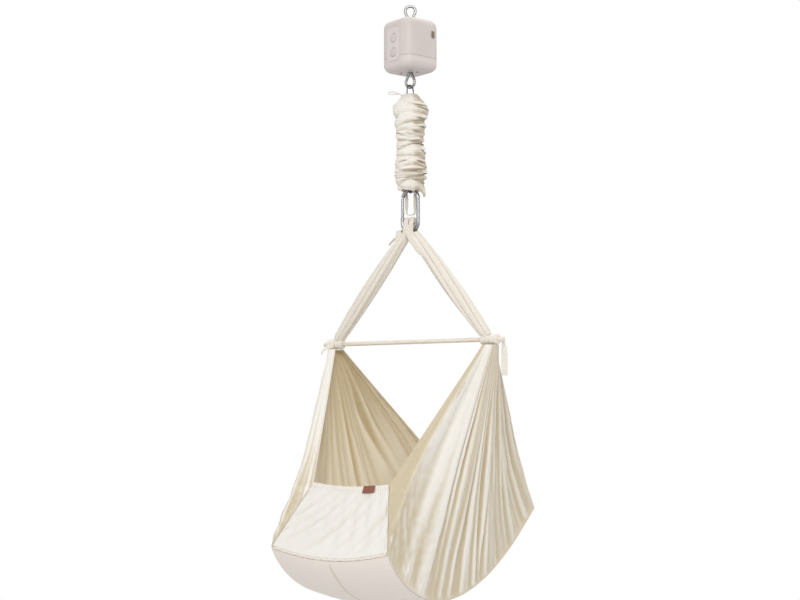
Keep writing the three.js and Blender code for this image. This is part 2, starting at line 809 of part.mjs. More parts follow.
function driveGear() {
  const front = gearFront();
  const phase = meshAngle();
  const body = join(
    gearPlate(DRIVE_GEAR_TEETH, GEAR_MODULE, phase, front, front + GEAR_WIDTH, AXLE_X, AXLE_Z),
    rodY(GEAR_HUB_RADIUS, front, CHASSIS_BACK - SEAT, AXLE_X, AXLE_Z),
  );
  return cut(body, rodY(AXLE_RADIUS + SEAT, front - OVERRUN, CHASSIS_BACK + OVERRUN, AXLE_X, AXLE_Z, 16));
}

function motorPinion() {
  const front = gearFront();
  const phase = meshAngle() + Math.PI + Math.PI / MOTOR_PINION_TEETH;
  const end = CHASSIS_BACK + MOTOR_SHAFT_LENGTH;
  return join(
    gearPlate(MOTOR_PINION_TEETH, GEAR_MODULE, phase, front, front + GEAR_WIDTH, MOTOR_X, MOTOR_Z),
    rodY(MOTOR_SHAFT_RADIUS, front, end, MOTOR_X, MOTOR_Z, 12),
  );
}

function motorCan() {
  const front = CHASSIS_BACK + PLATE + SEAT;
  const back = HOUSING_DEPTH / 2 - HOUSING_WALL - MOTOR_BACK_ROOM;
  const body = join(
    rodY(MOTOR_RADIUS, front, back, MOTOR_X, MOTOR_Z),
    rodY(MOTOR_BOSS_RADIUS, CHASSIS_BACK, front + SEAT, MOTOR_X, MOTOR_Z, 16),
    rodY(MOTOR_BOSS_RADIUS, back - SEAT, back + PLATE, MOTOR_X, MOTOR_Z, 16),
  );
  const bore = MOTOR_SHAFT_RADIUS + SEAT;
  const boreEnd = CHASSIS_BACK + MOTOR_SHAFT_LENGTH + SEAT;
  return cut(body, rodY(bore, CHASSIS_BACK - OVERRUN, boreEnd, MOTOR_X, MOTOR_Z, 12));
}

function gearAxle() {
  const front = -RACK_WIDTH / 2 - SEAT;
  const back = CHASSIS_BACK + PLATE + SEAT;
  const geometry = turned([
    [0, -front + AXLE_HEAD_THICKNESS],
    [AXLE_HEAD, -front + AXLE_HEAD_THICKNESS],
    [AXLE_HEAD, -front],
    [AXLE_RADIUS, -front],
    [AXLE_RADIUS, -back],
    [AXLE_HEAD, -back],
    [AXLE_HEAD, -back - AXLE_HEAD_THICKNESS],
    [0, -back - AXLE_HEAD_THICKNESS],
  ], 16);
  geometry.rotateX(Math.PI / 2);
  geometry.translate(AXLE_X, 0, AXLE_Z);
  return geometry;
}

// Lifting rod: a rack above and a round guided rod below, bored for the eye's stud
function rackOutline() {
  const pitch = Math.PI * RACK_MODULE;
  const root = 1.25 * RACK_MODULE - RACK_PITCH_LINE;
  const tip = -0.95 * RACK_MODULE - RACK_PITCH_LINE;
  const top = HOUSING_TOP - RACK_TOP_DROP;
  const bottom = HOUSING_TOP - RACK_BOTTOM_DROP;
  const first = AXLE_Z - pitch / 2 - pitch * Math.round(0.25 * RACK_TEETH);
  const points = [[RACK_BODY_BACK, top], [RACK_BODY_BACK, bottom], [root, bottom]];
  for (let i = 0; i < RACK_TEETH; i += 1) {
    const z = first + i * pitch;
    points.push([root, z - 0.30 * pitch], [tip, z - 0.11 * pitch]);
    points.push([tip, z + 0.11 * pitch], [root, z + 0.30 * pitch]);
  }
  points.push([root, top]);
  return polygon(points.filter(([, z]) => z <= top));
}

function liftRack() {
  const half = RACK_WIDTH / 2;
  const rodEnd = EYE2_NECK + EYE_COLLAR_DEPTH + SEAT;
  const rodTop = HOUSING_TOP - RACK_BOTTOM_DROP + RACK_MODULE;
  const bore = EYE_STUD_RADIUS + SEAT;
  return cut(
    join(plateXZ(rackOutline(), -half, half), rodZ(ROD_RADIUS, rodEnd, rodTop)),
    rodZ(bore, rodEnd - OVERRUN, rodEnd + EYE_STUD_LENGTH, 16),
  );
}

// The guide bears on the rack's back, and its arm passes beside the drive gear
function rackGuide() {
  const x = RACK_BODY_BACK + SEAT;
  const half = RACK_WIDTH / 2;
  const z = GUIDE_HEIGHT / 2;
  const gearReach = AXLE_X + DRIVE_GEAR_RADIUS + GEAR_MODULE + SEAT;
  const outside = gearReach + GUIDE_THICKNESS;
  return join(
    box(x, outside, -half, half, AXLE_Z - z, AXLE_Z + z),
    box(gearReach, outside, -half, CHASSIS_BACK - SEAT, AXLE_Z - z, AXLE_Z + z),
  );
}

function rodBush() {
  const outer = BUSH_BORE + BUSH_WALL;
  const flange = PLATE_BOTTOM + PLATE + SEAT;
  return turned([
    [BUSH_BORE, HOUSING_BOTTOM],
    [outer, HOUSING_BOTTOM],
    [outer, flange],
    [outer + BUSH_FLANGE, flange],
    [outer + BUSH_FLANGE, flange + BUSH_FLANGE_THICKNESS],
    [BUSH_BORE, flange + BUSH_FLANGE_THICKNESS],
    [BUSH_BORE, HOUSING_BOTTOM],
  ]);
}

// Spring hooks: a wire bow on a flanged plug that fills the coil's end
function hookPath() {
  const points = [point(0, HOOK_RADIUS, -HOOK_LEG - PLUG_FLANGE / 2)];
  const arcSteps = 10;
  for (let i = 0; i <= arcSteps; i += 1) {
    const angle = Math.PI * i / arcSteps;
    points.push(point(0, HOOK_RADIUS * Math.cos(angle), HOOK_RADIUS * Math.sin(angle)));
  }
  points.push(point(0, -HOOK_RADIUS, -HOOK_LEG - PLUG_FLANGE / 2));
  return points;
}

function springHook() {
  const flange = COIL_RADIUS + COIL_WIRE / 2;
  const core = (COIL_RADIUS - COIL_WIRE / 2) * Math.cos(Math.PI / COIL_STEPS) - SEAT;
  const plug = turned([
    [0, -HOOK_LEG],
    [flange, -HOOK_LEG],
    [flange, -HOOK_LEG - PLUG_FLANGE],
    [core, -HOOK_LEG - PLUG_FLANGE],
    [core, -HOOK_LEG - PLUG_FLANGE - PLUG_LENGTH],
    [0, -HOOK_LEG - PLUG_FLANGE - PLUG_LENGTH],
  ], 14);
  return join(wire(hookPath(), HOOK_WIRE, 16, 6), plug);
}

function springUpperHook() {
  const geometry = springHook();
  geometry.translate(0, 0, HOOK_CENTRE);
  return geometry;
}

function springLowerHook() {
  const geometry = springHook();
  geometry.rotateX(Math.PI);
  geometry.translate(0, 0, LOWER_HOOK_CENTRE);
  return geometry;
}

function coilPoint(turn) {
  const angle = 2 * Math.PI * turn;
  const top = COIL_TOP - COIL_WIRE / 2;
  const drop = (COIL_LENGTH - COIL_WIRE) * turn / COIL_TURNS;
  return point(COIL_RADIUS * Math.cos(angle), COIL_RADIUS * Math.sin(angle), top - drop);
}

function springCoil() {
  const sides = 5;
  const rings = [];
  for (let i = 0; i <= COIL_TURNS * COIL_STEPS; i += 1) {
    const centre = coilPoint(i / COIL_STEPS);
    const outward = point(centre.x, centre.y, 0).normalize();
    const ring = [];
    for (let j = 0; j < sides; j += 1) {
      const angle = 2 * Math.PI * j / sides;
      const offset = outward.clone().multiplyScalar(Math.cos(angle) * COIL_WIRE / 2);
      ring.push(centre.clone().add(offset).add(point(0, 0, Math.sin(angle) * COIL_WIRE / 2)));
    }
    rings.push(ring);
  }
  return skin(rings, false);
}

function coilGap() {
  const perTurn = 24;
  const points = [];
  for (let i = 0; i <= COIL_TURNS * perTurn; i += 1) points.push(coilPoint(i / perTurn));
  let least = Infinity;
  for (let i = 0; i < points.length; i += 1) {
    for (let j = i + perTurn / 2; j < points.length; j += 1) {
      least = Math.min(least, points[i].distanceTo(points[j]));
    }
  }
  return least - COIL_WIRE;
}

// Scrunched cover: ridges and valleys round the coil, gathered in at the top
function profileShare(shares, place) {
  const scaled = Math.min(0.9999, Math.max(0, place)) * (shares.length - 1);
  const whole = Math.floor(scaled);
  return mix(shares[whole], shares[whole + 1], smooth(scaled - whole));
}

function coverNeck() {
  return (COIL_RADIUS + COIL_WIRE / 2) / Math.cos(Math.PI / COVER_SIDES) + SEAT;
}

function coverPoint(place, angle) {
  const top = PLUG_TOP + COVER_TOP_RISE;
  const bottom = LOWER_PLUG_BOTTOM - COVER_OVERHANG;
  const tilt = profileShare(COVER_TILT_SHARES, place) * COVER_FOLD_DEPTH;
  const fold = Math.cos(2 * Math.PI * COVER_FOLDS * place) * (1 + 0.3 * Math.sin(2 * angle + 9 * place));
  const body = COVER_RADIUS * profileShare(COVER_PROFILE_SHARES, place) + COVER_WALL / 2;
  const shoulder = smooth(place * (top - bottom) / COVER_SHOULDER);
  const radius = mix(coverNeck() + CLOTH / 2, body, shoulder) + COVER_FOLD_DEPTH * fold * shoulder / 2;
  const frill = COVER_FRILL * smooth(10 * place - 9) * (0.5 + 0.5 * Math.cos(angle - 0.4));
  const z = mix(top, bottom, place) + tilt * Math.cos(angle) - frill;
  return point(radius * Math.cos(angle), radius * Math.sin(angle), z);
}

function springCover() {
  const sides = COVER_SIDES;
  const outerRows = 27;
  const neck = coverNeck();
  const bottom = LOWER_PLUG_BOTTOM - COVER_OVERHANG;
  const ringOf = (make) => Array.from({ length: sides }, (_, j) => make(2 * Math.PI * j / sides));
  const rings = [];
  for (let i = 0; i <= outerRows; i += 1) rings.push(ringOf((angle) => coverPoint(i / outerRows, angle)));
  const inner = [
    [COVER_RADIUS - COVER_WALL, bottom],
    [COVER_RADIUS - COVER_WALL, PLUG_TOP - COVER_SHOULDER],
    [neck, PLUG_TOP - PLUG_FLANGE / 2],
    [neck, PLUG_TOP + COVER_TOP_RISE / 2],
  ];
  inner.forEach(([radius, z], row) => {
    rings.push(ringOf((angle) => {
      const frill = row === 0 ? coverPoint(1, angle).z - bottom : 0;
      return point(radius * Math.cos(angle), radius * Math.sin(angle), z + frill);
    }));
  });
  return skin(rings, true);
}

// Drawstring: a loop of cord out of the cover's gathered top and back to its knot,
// with heights above the hook's plug
const DRAWSTRING_POINTS = [
  [-18.5, -13, 3.5],
  [-25, -16.5, 8.7],
  [-34, -21, 12.7],
  [-43, -24, 15.7],
  [-50, -27.5, 15.2],
  [-53.5, -31.5, 12.2],
  [-50.5, -34.5, 8.7],
  [-43.5, -33, 7.2],
  [-34.5, -28, 7.7],
  [-24, -22.5, 7],
  [-13, -18.5, 3.5],
];

function drawstring() {
  const points = DRAWSTRING_POINTS.map(([x, y, rise]) => point(x, y, PLUG_TOP + rise));
  return wire(points, CORD_DIAMETER, 18);
}

// Snap hook body: one bar from the gate's hinge round the bottom, spine and top to the nose
function carabinerPath(startZ, endZ) {
  const r = CARABINER_HALF_WIDTH;
  const low = CARABINER_BOTTOM + r;
  const high = CARABINER_TOP - r;
  const points = [point(-r, 0, startZ)];
  const arcSteps = 12;
  for (let i = 0; i <= arcSteps; i += 1) {
    const angle = Math.PI + Math.PI * i / arcSteps;
    points.push(point(r * Math.cos(angle), 0, low + r * Math.sin(angle)));
  }
  points.push(point(r, 0, (low + high) / 2));
  const end = Math.PI - Math.asin(Math.min(1, Math.max(0, (endZ - high) / r)));
  for (let i = 0; i <= arcSteps; i += 1) {
    const angle = mix(0, end, i / arcSteps);
    points.push(point(r * Math.cos(angle), 0, high + r * Math.sin(angle)));
  }
  return points;
}

function carabinerBody() {
  const half = GATE_TONGUE / 2 + SEAT;
  const x = -CARABINER_HALF_WIDTH;
  const wide = CARABINER_WIRE;
  const forkBottom = HINGE_Z - GATE_FORK_DEPTH / 2;
  return cut(
    wire(carabinerPath(HINGE_Z + CARABINER_WIRE / 2, NOSE_Z), CARABINER_WIRE, CARABINER_STEPS),
    box(x - wide, x + wide, -half, half, forkBottom, HINGE_Z + wide),
    rodY(PIN_RADIUS + SEAT, -wide, wide, x, HINGE_Z, 12),
    box(x - wide, x + wide, -half, half, NOSE_Z - OVERRUN, NOSE_Z + GATE_FORK_DEPTH / 2),
  );
}

function gatePin() {
  const end = CARABINER_WIRE / 2 + SEAT;
  return rodY(PIN_RADIUS, -end, end, -CARABINER_HALF_WIDTH, HINGE_Z, 12);
}

function carabinerGate() {
  const x = -CARABINER_HALF_WIDTH;
  const radius = GATE_DIAMETER / 2;
  const low = HINGE_Z + CARABINER_WIRE / 2 + SEAT + radius / 3;
  const high = noseCut() - SEAT;
  const tongue = GATE_TONGUE / 2;
  const rod = rodZ(radius, low, high, 14);
  rod.translate(x, 0, 0);
  const eyeEnd = rodY(radius - SEAT, -tongue, tongue, x, HINGE_Z, 14);
  const web = box(x - radius / 2, x + radius / 2, -tongue, tongue, HINGE_Z, low + radius);
  const latch = box(x - tongue, x + tongue, -tongue, tongue, high - radius, high + GATE_FORK_DEPTH / 4);
  const bore = rodY(PIN_RADIUS + SEAT, -radius, radius, x, HINGE_Z, 12);
  return cut(join(rod, eyeEnd, web, latch), bore);
}

function noseCut() {
  return NOSE_Z - CARABINER_WIRE / 4;
}

// Webbing loop over the lower hook, beside the snap hook
function safetyStrap() {
  const inner = CARABINER_WIRE / 2 + SEAT;
  const seatY = inner + STRAP_WIDTH;
  const rise = HOOK_RADIUS - Math.sqrt((HOOK_RADIUS - HOOK_WIRE / 2) ** 2 - seatY ** 2);
  const width = STRAP_RIGHT - STRAP_LEFT;
  const aside = Math.abs(STRAP_LEFT + STRAP_RIGHT) / 2 + HOOK_WIRE / 2;
  const past = Math.max(0, aside + STRAP_CORNER - width / 2);
  const cornerDrop = STRAP_CORNER - Math.sqrt(STRAP_CORNER ** 2 - past ** 2);
  const top = LOWER_HOOK_Z + rise + SEAT + cornerDrop + STRAP_THICKNESS;
  const bottom = CARABINER_BOTTOM + BUNCH_RISE + SEAT;
  const ring = (grow) => {
    const height = top - bottom - 2 * STRAP_THICKNESS + 2 * grow;
    return roundedOutline(width + 2 * grow, height, STRAP_CORNER + grow);
  };
  const outside = plateXZ(ring(STRAP_THICKNESS), inner, seatY, 4);
  const hollow = plateXZ(ring(0), inner - OVERRUN, seatY + OVERRUN, 4);
  const geometry = cut(outside, hollow);
  geometry.translate((STRAP_LEFT + STRAP_RIGHT) / 2, 0, (top + bottom) / 2);
  return geometry;
}

// Slings: gathered bands from the snap hook down to the bar
function slingRing(share, side) {
  const start = point(side * SLING_TOP_X, 0, CARABINER_BOTTOM);
  const end = point(side * APEX_X, 0, BAR_Z);
  const direction = end.clone().sub(start).normalize();
  const across = point(direction.z, 0, -direction.x);
  const centre = start.clone().lerp(end, share);
  const puff = Math.sin(Math.PI * share) ** 0.8;
  const half = mix(SLING_END_HALF, SLING_MIDDLE_HALF, puff);
  const depth = mix(SLING_END_DEPTH_HALF, SLING_MIDDLE_DEPTH_HALF, puff);
  const sides = 14;
  return Array.from({ length: sides }, (_, j) => {
    const angle = 2 * Math.PI * j / sides;
    const fold = j % 2 === 0 ? 1 : mix(1, 0.84, smooth(3 * share) * smooth(3 - 3 * share));
    const p = centre.clone().addScaledVector(across, half * fold * Math.cos(angle));
    return p.add(point(0, depth * fold * Math.sin(angle), 0));
  });
}

function bunchOutline() {
  const points = [];
  const steps = 6;
  const spread = Math.asin(BUNCH_DEPTH_HALF / BUNCH_RISE);
  for (let i = 0; i <= steps; i += 1) {
    const angle = mix(spread, -spread, i / steps);
    points.push([BUNCH_RISE * Math.sin(angle), CARABINER_BOTTOM + BUNCH_RISE * Math.cos(angle)]);
  }
  points.push([-BUNCH_DEPTH_HALF, CARABINER_BOTTOM], [BUNCH_DEPTH_HALF, CARABINER_BOTTOM]);
  return polygon(points);
}

// The part of a sling inside the snap hook, with its shoulder drawn in beside the gate
function bunch() {
  const depth = 2 * BUNCH_HALF;
  const block = new THREE.ExtrudeGeometry(bunchOutline(), { depth, bevelEnabled: false });
  block.rotateY(Math.PI / 2);
  block.rotateX(Math.PI / 2);
  block.translate(-BUNCH_HALF, 0, 0);
  const shoulder = BUNCH_HALF / 2;
  const z = CARABINER_BOTTOM + BUNCH_RISE;
  const keep = polygon([
    [-BUNCH_HALF, CARABINER_BOTTOM - OVERRUN],
    [BUNCH_HALF, CARABINER_BOTTOM - OVERRUN],
    [BUNCH_HALF, z - shoulder],
    [BUNCH_HALF - shoulder / 3, z - shoulder / 3],
    [BUNCH_HALF - shoulder, z + SEAT],
    [shoulder - BUNCH_HALF, z + SEAT],
    [shoulder / 3 - BUNCH_HALF, z - shoulder / 3],
    [-BUNCH_HALF, z - shoulder],
  ]);
  return common(block, plateXZ(keep, -BUNCH_RISE, BUNCH_RISE));
}

function sling(side) {
  const rings = [];
  const rows = 9;
  for (let i = 0; i <= rows; i += 1) rings.push(slingRing(i / rows, side));
  const flat = CARABINER_WIRE / 2 + SLOT_CLEARANCE;
  const hook = along(
    carabinerPath(HINGE_Z + CARABINER_WIRE / 2, NOSE_Z),
    ellipseOutline(flat + SWING_CLEARANCE, flat, WIRE_SIDES),
    CARABINER_STEPS,
  );
  const far = APEX_X + LOOP_LENGTH;
  const other = side > 0 ? [-far, SEAT / 2] : [-SEAT / 2, far];
  const high = CARABINER_BOTTOM + BUNCH_RISE + OVERRUN;
  const wide = SLING_MIDDLE_DEPTH_HALF + OVERRUN;
  return cut(
    join(skin(rings, false), bunch()),
    box(other[0], other[1], -wide, wide, BAR_Z - far, high),
    hook,
    rodX(LOOP_RADIUS + SEAT, Math.min(0, side * far), Math.max(0, side * far), BAR_Z),
    box(-far, far, -wide, wide, BAR_Z - far, BAR_Z),
  );
}

function barLoop(side) {
  const bore = BAR_DIAMETER / 2 + SEAT;
  const start = -LOOP_LENGTH / 2;
  const profile = [[bore, start]];
  const steps = 2 * LOOP_WRAPS;
  for (let i = 0; i <= steps; i += 1) {
    const dent = i % 2 === 0 ? LOOP_WRAP_DEPTH : 0;
    profile.push([LOOP_RADIUS - dent, start + LOOP_LENGTH * i / steps]);
  }
  profile.push([bore, -start], [bore, start]);
  const geometry = turned(profile, 12);
  geometry.rotateY(Math.PI / 2);
  geometry.translate(side * APEX_X, 0, BAR_Z);
  return geometry;
}

function spreaderBar() {
  const radius = BAR_DIAMETER / 2;
  const end = BAR_LENGTH / 2;
  const geometry = turned([
    [0, -end],
    [radius - BAR_END_RADIUS, -end],
    [radius, BAR_END_RADIUS - end],
    [radius, end - BAR_END_RADIUS],
    [radius - BAR_END_RADIUS, end],
    [0, end],
  ], 18);
  geometry.rotateY(Math.PI / 2);
  geometry.translate(0, 0, BAR_Z);
  return geometry;
}

// Cloth cradle: the base line, the rims and the surfaces between them
function baseLine(share) {
  const skewed = share ** BELLY_SKEW_SHARE;
  const chord = BAR_Z - mix(FRONT_BASE_DROP, BACK_BASE_DROP, share);
  return chord - BELLY_SAG * 4 * skewed * (1 - skewed);
}

function baseY(share) {
  return mix(-BASE_HALF_LENGTH, BASE_HALF_LENGTH, share);
}

function basePoint(share, side) {
  const crown = BASE_CROWN * (1 - side * side);
  return point(side * BASE_HALF_WIDTH, baseY(share), baseLine(share) - crown);
}

function frontRim() {
  return point(FRONT_RIM_HALF, FRONT_RIM_LEAN - BASE_HALF_LENGTH, BAR_Z - FRONT_BASE_DROP + FRONT_RIM_RISE);
}

function backRim() {
  return point(BACK_RIM_HALF, BASE_HALF_LENGTH - BACK_RIM_LEAN, BAR_Z - BACK_BASE_DROP + BACK_RIM_RISE);
}

function edgeShares() {
  const front = frontRim().distanceTo(basePoint(0, 1));
  const back = backRim().distanceTo(basePoint(1, 1));
  const whole = front + back + 2 * BASE_HALF_LENGTH * 1.13;
  return [front / whole, 1 - back / whole];
}

function lowerEdge(u) {
  const [front, back] = edgeShares();
  if (u <= front) return frontRim().lerp(basePoint(0, 1), u / front);
  if (u >= back) return basePoint(1, 1).lerp(backRim(), (u - back) / (1 - back));
  return basePoint((u - front) / (back - front), 1);
}

function gatherPoint(u) {
  const angle = radians(mix(-GATHER_ANGLE, GATHER_ANGLE, u));
  return point(APEX_X + GATHER_RADIUS_X * Math.cos(angle), GATHER_RADIUS_Y * Math.sin(angle), GATHER_Z);
}

// How far the rims draw the cloth in between the gather and the base corners
function cornerPull(u) {
  const [front, back] = edgeShares();
  const low = lowerEdge(u);
  if (u <= front) return frontRim().sub(low);
  if (u >= back) return backRim().sub(low);
  const frontFade = 1 - smooth((u - front) / CORNER_FADE_SHARE);
  const backFade = 1 - smooth((back - u) / CORNER_FADE_SHARE);
  const pull = frontRim().sub(basePoint(0, 1)).multiplyScalar(frontFade);
  return pull.addScaledVector(backRim().sub(basePoint(1, 1)), backFade);
}

function sideSurface(side) {
  return (u, v) => {
    const p = gatherPoint(u).lerp(lowerEdge(u), v);
    p.addScaledVector(cornerPull(u), CORNER_PULL_SHARE * v * (1 - v ** 6));
    const fade = Math.sin(Math.PI * v) * Math.min(1, 12 * u, 12 * (1 - u));
    const pleat = PLEAT_DEPTH * fade * Math.cos(2 * Math.PI * 7 * u);
    p.x += pleat;
    return point(side * p.x, p.y, p.z);
  };
}

function sidePanel(side) {
  return cloth(sideSurface(side), 25, 7, CLOTH);
}

function basePanel() {
  const along = SEAM_INSET / (2 * BASE_HALF_LENGTH);
  const across = 1 - SEAM_INSET / BASE_HALF_WIDTH;
  const surface = (u, v) => basePoint(mix(along, 1 - along, u), mix(-across, across, v));
  return cloth(surface, 16, 6, CLOTH);
}

function endSurface(front) {
  const rim = front ? frontRim() : backRim();
  const foot = basePoint(front ? 0 : 1, 1);
  return (u, v) => {
    const a = mix(-1, 1, u);
    const start = (CLOTH / 2 + SEAT) / rim.distanceTo(foot);
    const rise = mix(start, 1, v);
    const half = mix(foot.x, rim.x, rise) - SEAM_INSET;
    const dip = mix(BASE_CROWN, RIM_DIP, rise) * (1 - a * a);
    const fold = END_FOLD_DEPTH * Math.sin(Math.PI * v) * Math.cos(2 * Math.PI * 3.5 * a + 2 * v);
    const fade = Math.min(1, 6 * (1 - Math.abs(a)));
    return point(a * half, mix(foot.y, rim.y, rise) + fold * fade, mix(foot.z, rim.z, rise) - dip);
  };
}

function endPanel(front) {
  return cloth(endSurface(front), 18, 4, CLOTH);
}

function leatherTag() {
  const surface = endSurface(true);
  const width = 2 * FRONT_RIM_HALF;
  const height = frontRim().distanceTo(basePoint(0, 1));
  const u0 = 0.5 + (LEATHER_X - LEATHER_WIDTH / 2) / width;
  const u1 = 0.5 + (LEATHER_X + LEATHER_WIDTH / 2) / width;
  const v0 = 1 - LEATHER_HEIGHT / height;
  const lift = CLOTH / 2 + 3 * SEAT + LEATHER_THICKNESS / 2;
  const raised = (u, v) => {
    const place = surface(mix(u0, u1, u), mix(v0, 1, v));
    const normal = normalAt(surface, (u0 + u1) / 2, (v0 + 1) / 2);
    return place.addScaledVector(normal, normal.y < 0 ? lift : -lift);
  };
  return cloth(raised, 6, 2, LEATHER_THICKNESS);
}

// Mattress: a crowned pad that follows the base, with drawn-in sides
function mattressRing(share) {
  const first = MATTRESS_FRONT_MARGIN / (2 * BASE_HALF_LENGTH);
  const last = 1 - MATTRESS_BACK_MARGIN / (2 * BASE_HALF_LENGTH);
  const place = mix(first, last, share);
  const end = Math.min(1, 12 * share, 12 * (1 - share));
  const edge = mix(MATTRESS_EDGE, MATTRESS_THICKNESS, Math.sqrt(end));
  const shares = [-1, -0.94, -0.7, -0.35, 0, 0.35, 0.7, 0.94, 1];
  const low = shares.map((x) => mattressPoint(place, x, MATTRESS_LIFT));
  const high = shares.map((x) => {
    const fall = Math.abs(x) > 0.93 ? MATTRESS_EDGE / 2 + MATTRESS_EDGE * (1 - Math.abs(x)) : 0;
    const rise = Math.min(edge, MATTRESS_THICKNESS) - (fall > 0 ? edge - MATTRESS_EDGE - fall : 0);
    return mattressPoint(place, x * 0.985, rise);
  });
  return [...low, ...high.reverse()];
}

function mattressPoint(place, x, rise) {
  const side = x * (1 - MATTRESS_SIDE_MARGIN / BASE_HALF_WIDTH);
  const p = basePoint(place, side);
  const step = 0.01;
  const slope = (baseLine(place + step) - baseLine(place - step)) / (baseY(place + step) - baseY(place - step));
  const normal = point(0, -slope, 1).normalize();
  return p.addScaledVector(normal, CLOTH / 2 + rise);
}

function mattress() {
  const rings = [];
  const rows = 12;
  for (let i = 0; i <= rows; i += 1) rings.push(mattressRing(i / rows));
  return skin(rings, false);
}

// Loose tape ends at the knots
function rightTape() {
  const x = APEX_X + LOOP_LENGTH / 2 + TAPE_THICKNESS / 2 + SEAT;
  const top = BAR_Z + LOOP_RADIUS / 2;
  const surface = (u, v) => {
    const wave = TAPE_THICKNESS * Math.sin(Math.PI * 1.5 * v);
    return point(x + wave + TAPE_DRIFT * v / 2, BAR_DIAMETER + TAPE_WIDTH * u + TAPE_DRIFT * v, top - TAPE_LENGTH * v);
  };
  return cloth(surface, 2, 12, TAPE_THICKNESS);
}

function leftTape() {
  const surface = (u, v) => {
    const x = LOOP_LENGTH / 2 - APEX_X - GATHER_RADIUS_X - SHORT_TAPE_LENGTH * v;
    const away = (GATHER_RADIUS_Y - LOOP_RADIUS) * Math.min(0.85, 3 * v);
    const y = -LOOP_RADIUS - TAPE_THICKNESS / 2 - SEAT - away;
    const fall = SHORT_TAPE_LENGTH * v * v / 2;
    return point(x, y, BAR_Z - SEAT - SHORT_TAPE_WIDTH * u - fall);
  };
  return cloth(surface, 2, 6, TAPE_THICKNESS);
}

// Finishes
const FINISHES = {
  steel: [0xb9bcbf, 0.25, 1],
  dark_steel: [0x6d6e70, 0.35, 1],
  zinc: [0xa9adb0, 0.4, 1],
  housing: [0xd6ccc5, 0.55, 0],
  housing_low: [0xcfc5be, 0.55, 0],
  panel: [0xdbd2cc, 0.5, 0],
  button: [0xd8d0ca, 0.45, 0],
  board: [0x2f6b46, 0.6, 0],
  black_plastic: [0x26272a, 0.5, 0],
  nylon: [0xe4e0d4, 0.5, 0],
  brass: [0xc9a256, 0.35, 1],
  cotton: [0xece3d6, 0.9, 0],
  cotton_tan: [0xd9c9ae, 0.9, 0],
  webbing: [0xf1ede5, 0.85, 0],
  wood: [0xd9b68a, 0.6, 0],
  leather: [0xa55537, 0.7, 0],
  taupe: [0x8b7a68, 0.85, 0],
  mattress: [0xf3efe6, 0.95, 0],
};

function mesh(name, geometry, finish) {
  const [color, roughness, metalness] = FINISHES[finish];
  const material = new THREE.MeshStandardMaterial({ color, roughness, metalness });
  const node = new THREE.Mesh(geometry, material);
  node.name = name;
  return node;
}

function liftingUnit() {
  const group = new THREE.Group();
  group.rotation.z = radians(HOUSING_YAW);
  group.add(mesh('top_eye', topEye(), 'steel'));
  group.add(mesh('eye_nut', eyeNut(), 'zinc'));
  group.add(mesh('housing_upper', housingUpper(), 'housing'));
  group.add(mesh('housing_lower', housingLower(), 'housing_low'));
  group.add(mesh('button_panel', buttonPanel(), 'panel'));
  group.add(mesh('button_upper', button(BUTTON_UPPER_DROP), 'button'));
  group.add(mesh('button_lower', button(BUTTON_LOWER_DROP), 'button'));
  group.add(mesh('control_board', controlBoard(), 'board'));
  group.add(mesh('power_inlet', powerInlet(), 'black_plastic'));
  group.add(mesh('housing_tag', housingTag(), 'taupe'));
  screwPlaces().forEach((place, i) => {
    group.add(mesh(`housing_screw_${i + 1}`, housingScrew(place), 'zinc'));
  });
  group.add(mesh('chassis', chassis(), 'zinc'));
  group.add(mesh('rack_pinion', rackPinion(), 'nylon'));
  group.add(mesh('drive_gear', driveGear(), 'nylon'));
  group.add(mesh('motor_pinion', motorPinion(), 'brass'));
  group.add(mesh('motor_can', motorCan(), 'steel'));
  group.add(mesh('gear_axle', gearAxle(), 'steel'));
  group.add(mesh('lift_rack', liftRack(), 'steel'));
  group.add(mesh('rack_guide', rackGuide(), 'black_plastic'));
  group.add(mesh('rod_bush', rodBush(), 'brass'));
  group.add(mesh('bottom_eye', bottomEye(), 'steel'));
  return group;
}

function springUnit() {
  const group = new THREE.Group();
  group.add(mesh('spring_upper_hook', springUpperHook(), 'dark_steel'));
  group.add(mesh('spring_coil', springCoil(), 'dark_steel'));
  group.add(mesh('spring_lower_hook', springLowerHook(), 'dark_steel'));
  group.add(mesh('spring_cover', springCover(), 'cotton'));
  group.add(mesh('drawstring', drawstring(), 'webbing'));
  return group;
}

function snapHook() {
  const group = new THREE.Group();
  group.add(mesh('carabiner_body', carabinerBody(), 'steel'));
  group.add(mesh('carabiner_gate', carabinerGate(), 'steel'));
  group.add(mesh('gate_pin', gatePin(), 'dark_steel'));
  group.add(mesh('safety_strap', safetyStrap(), 'webbing'));
  return group;
}

function cradle() {
  const group = new THREE.Group();
  [['left', -1], ['right', 1]].forEach(([name, side]) => {
    group.add(mesh(`sling_${name}`, sling(side), 'cotton'));
    group.add(mesh(`bar_loop_${name}`, barLoop(side), 'webbing'));
    group.add(mesh(`side_panel_${name}`, sidePanel(side), 'cotton_tan'));
  });
  group.add(mesh('spreader_bar', spreaderBar(), 'wood'));
  group.add(mesh('base_panel', basePanel(), 'cotton'));
  group.add(mesh('end_panel_front', endPanel(true), 'cotton'));
  group.add(mesh('end_panel_back', endPanel(false), 'cotton'));
  group.add(mesh('leather_tag', leatherTag(), 'leather'));
  group.add(mesh('mattress', mattress(), 'mattress'));
  group.add(mesh('tie_tape_right', rightTape(), 'webbing'));
  group.add(mesh('tie_tape_left', leftTape(), 'webbing'));
  return group;
}

console.log(`least gap between the spring's curls: ${coilGap().toFixed(2)} mm`);

const object = new THREE.Group();
object.add(liftingUnit(), springUnit(), snapHook(), cradle());
export default object;
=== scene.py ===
"""Hanging baby cradle: the looks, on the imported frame.

Shapes are worked out in the CAD's millimetres, and mesh_object turns them into metres.
"""

import math

import bmesh
import bpy
import numpy as np
from mathutils import Matrix, Vector, noise


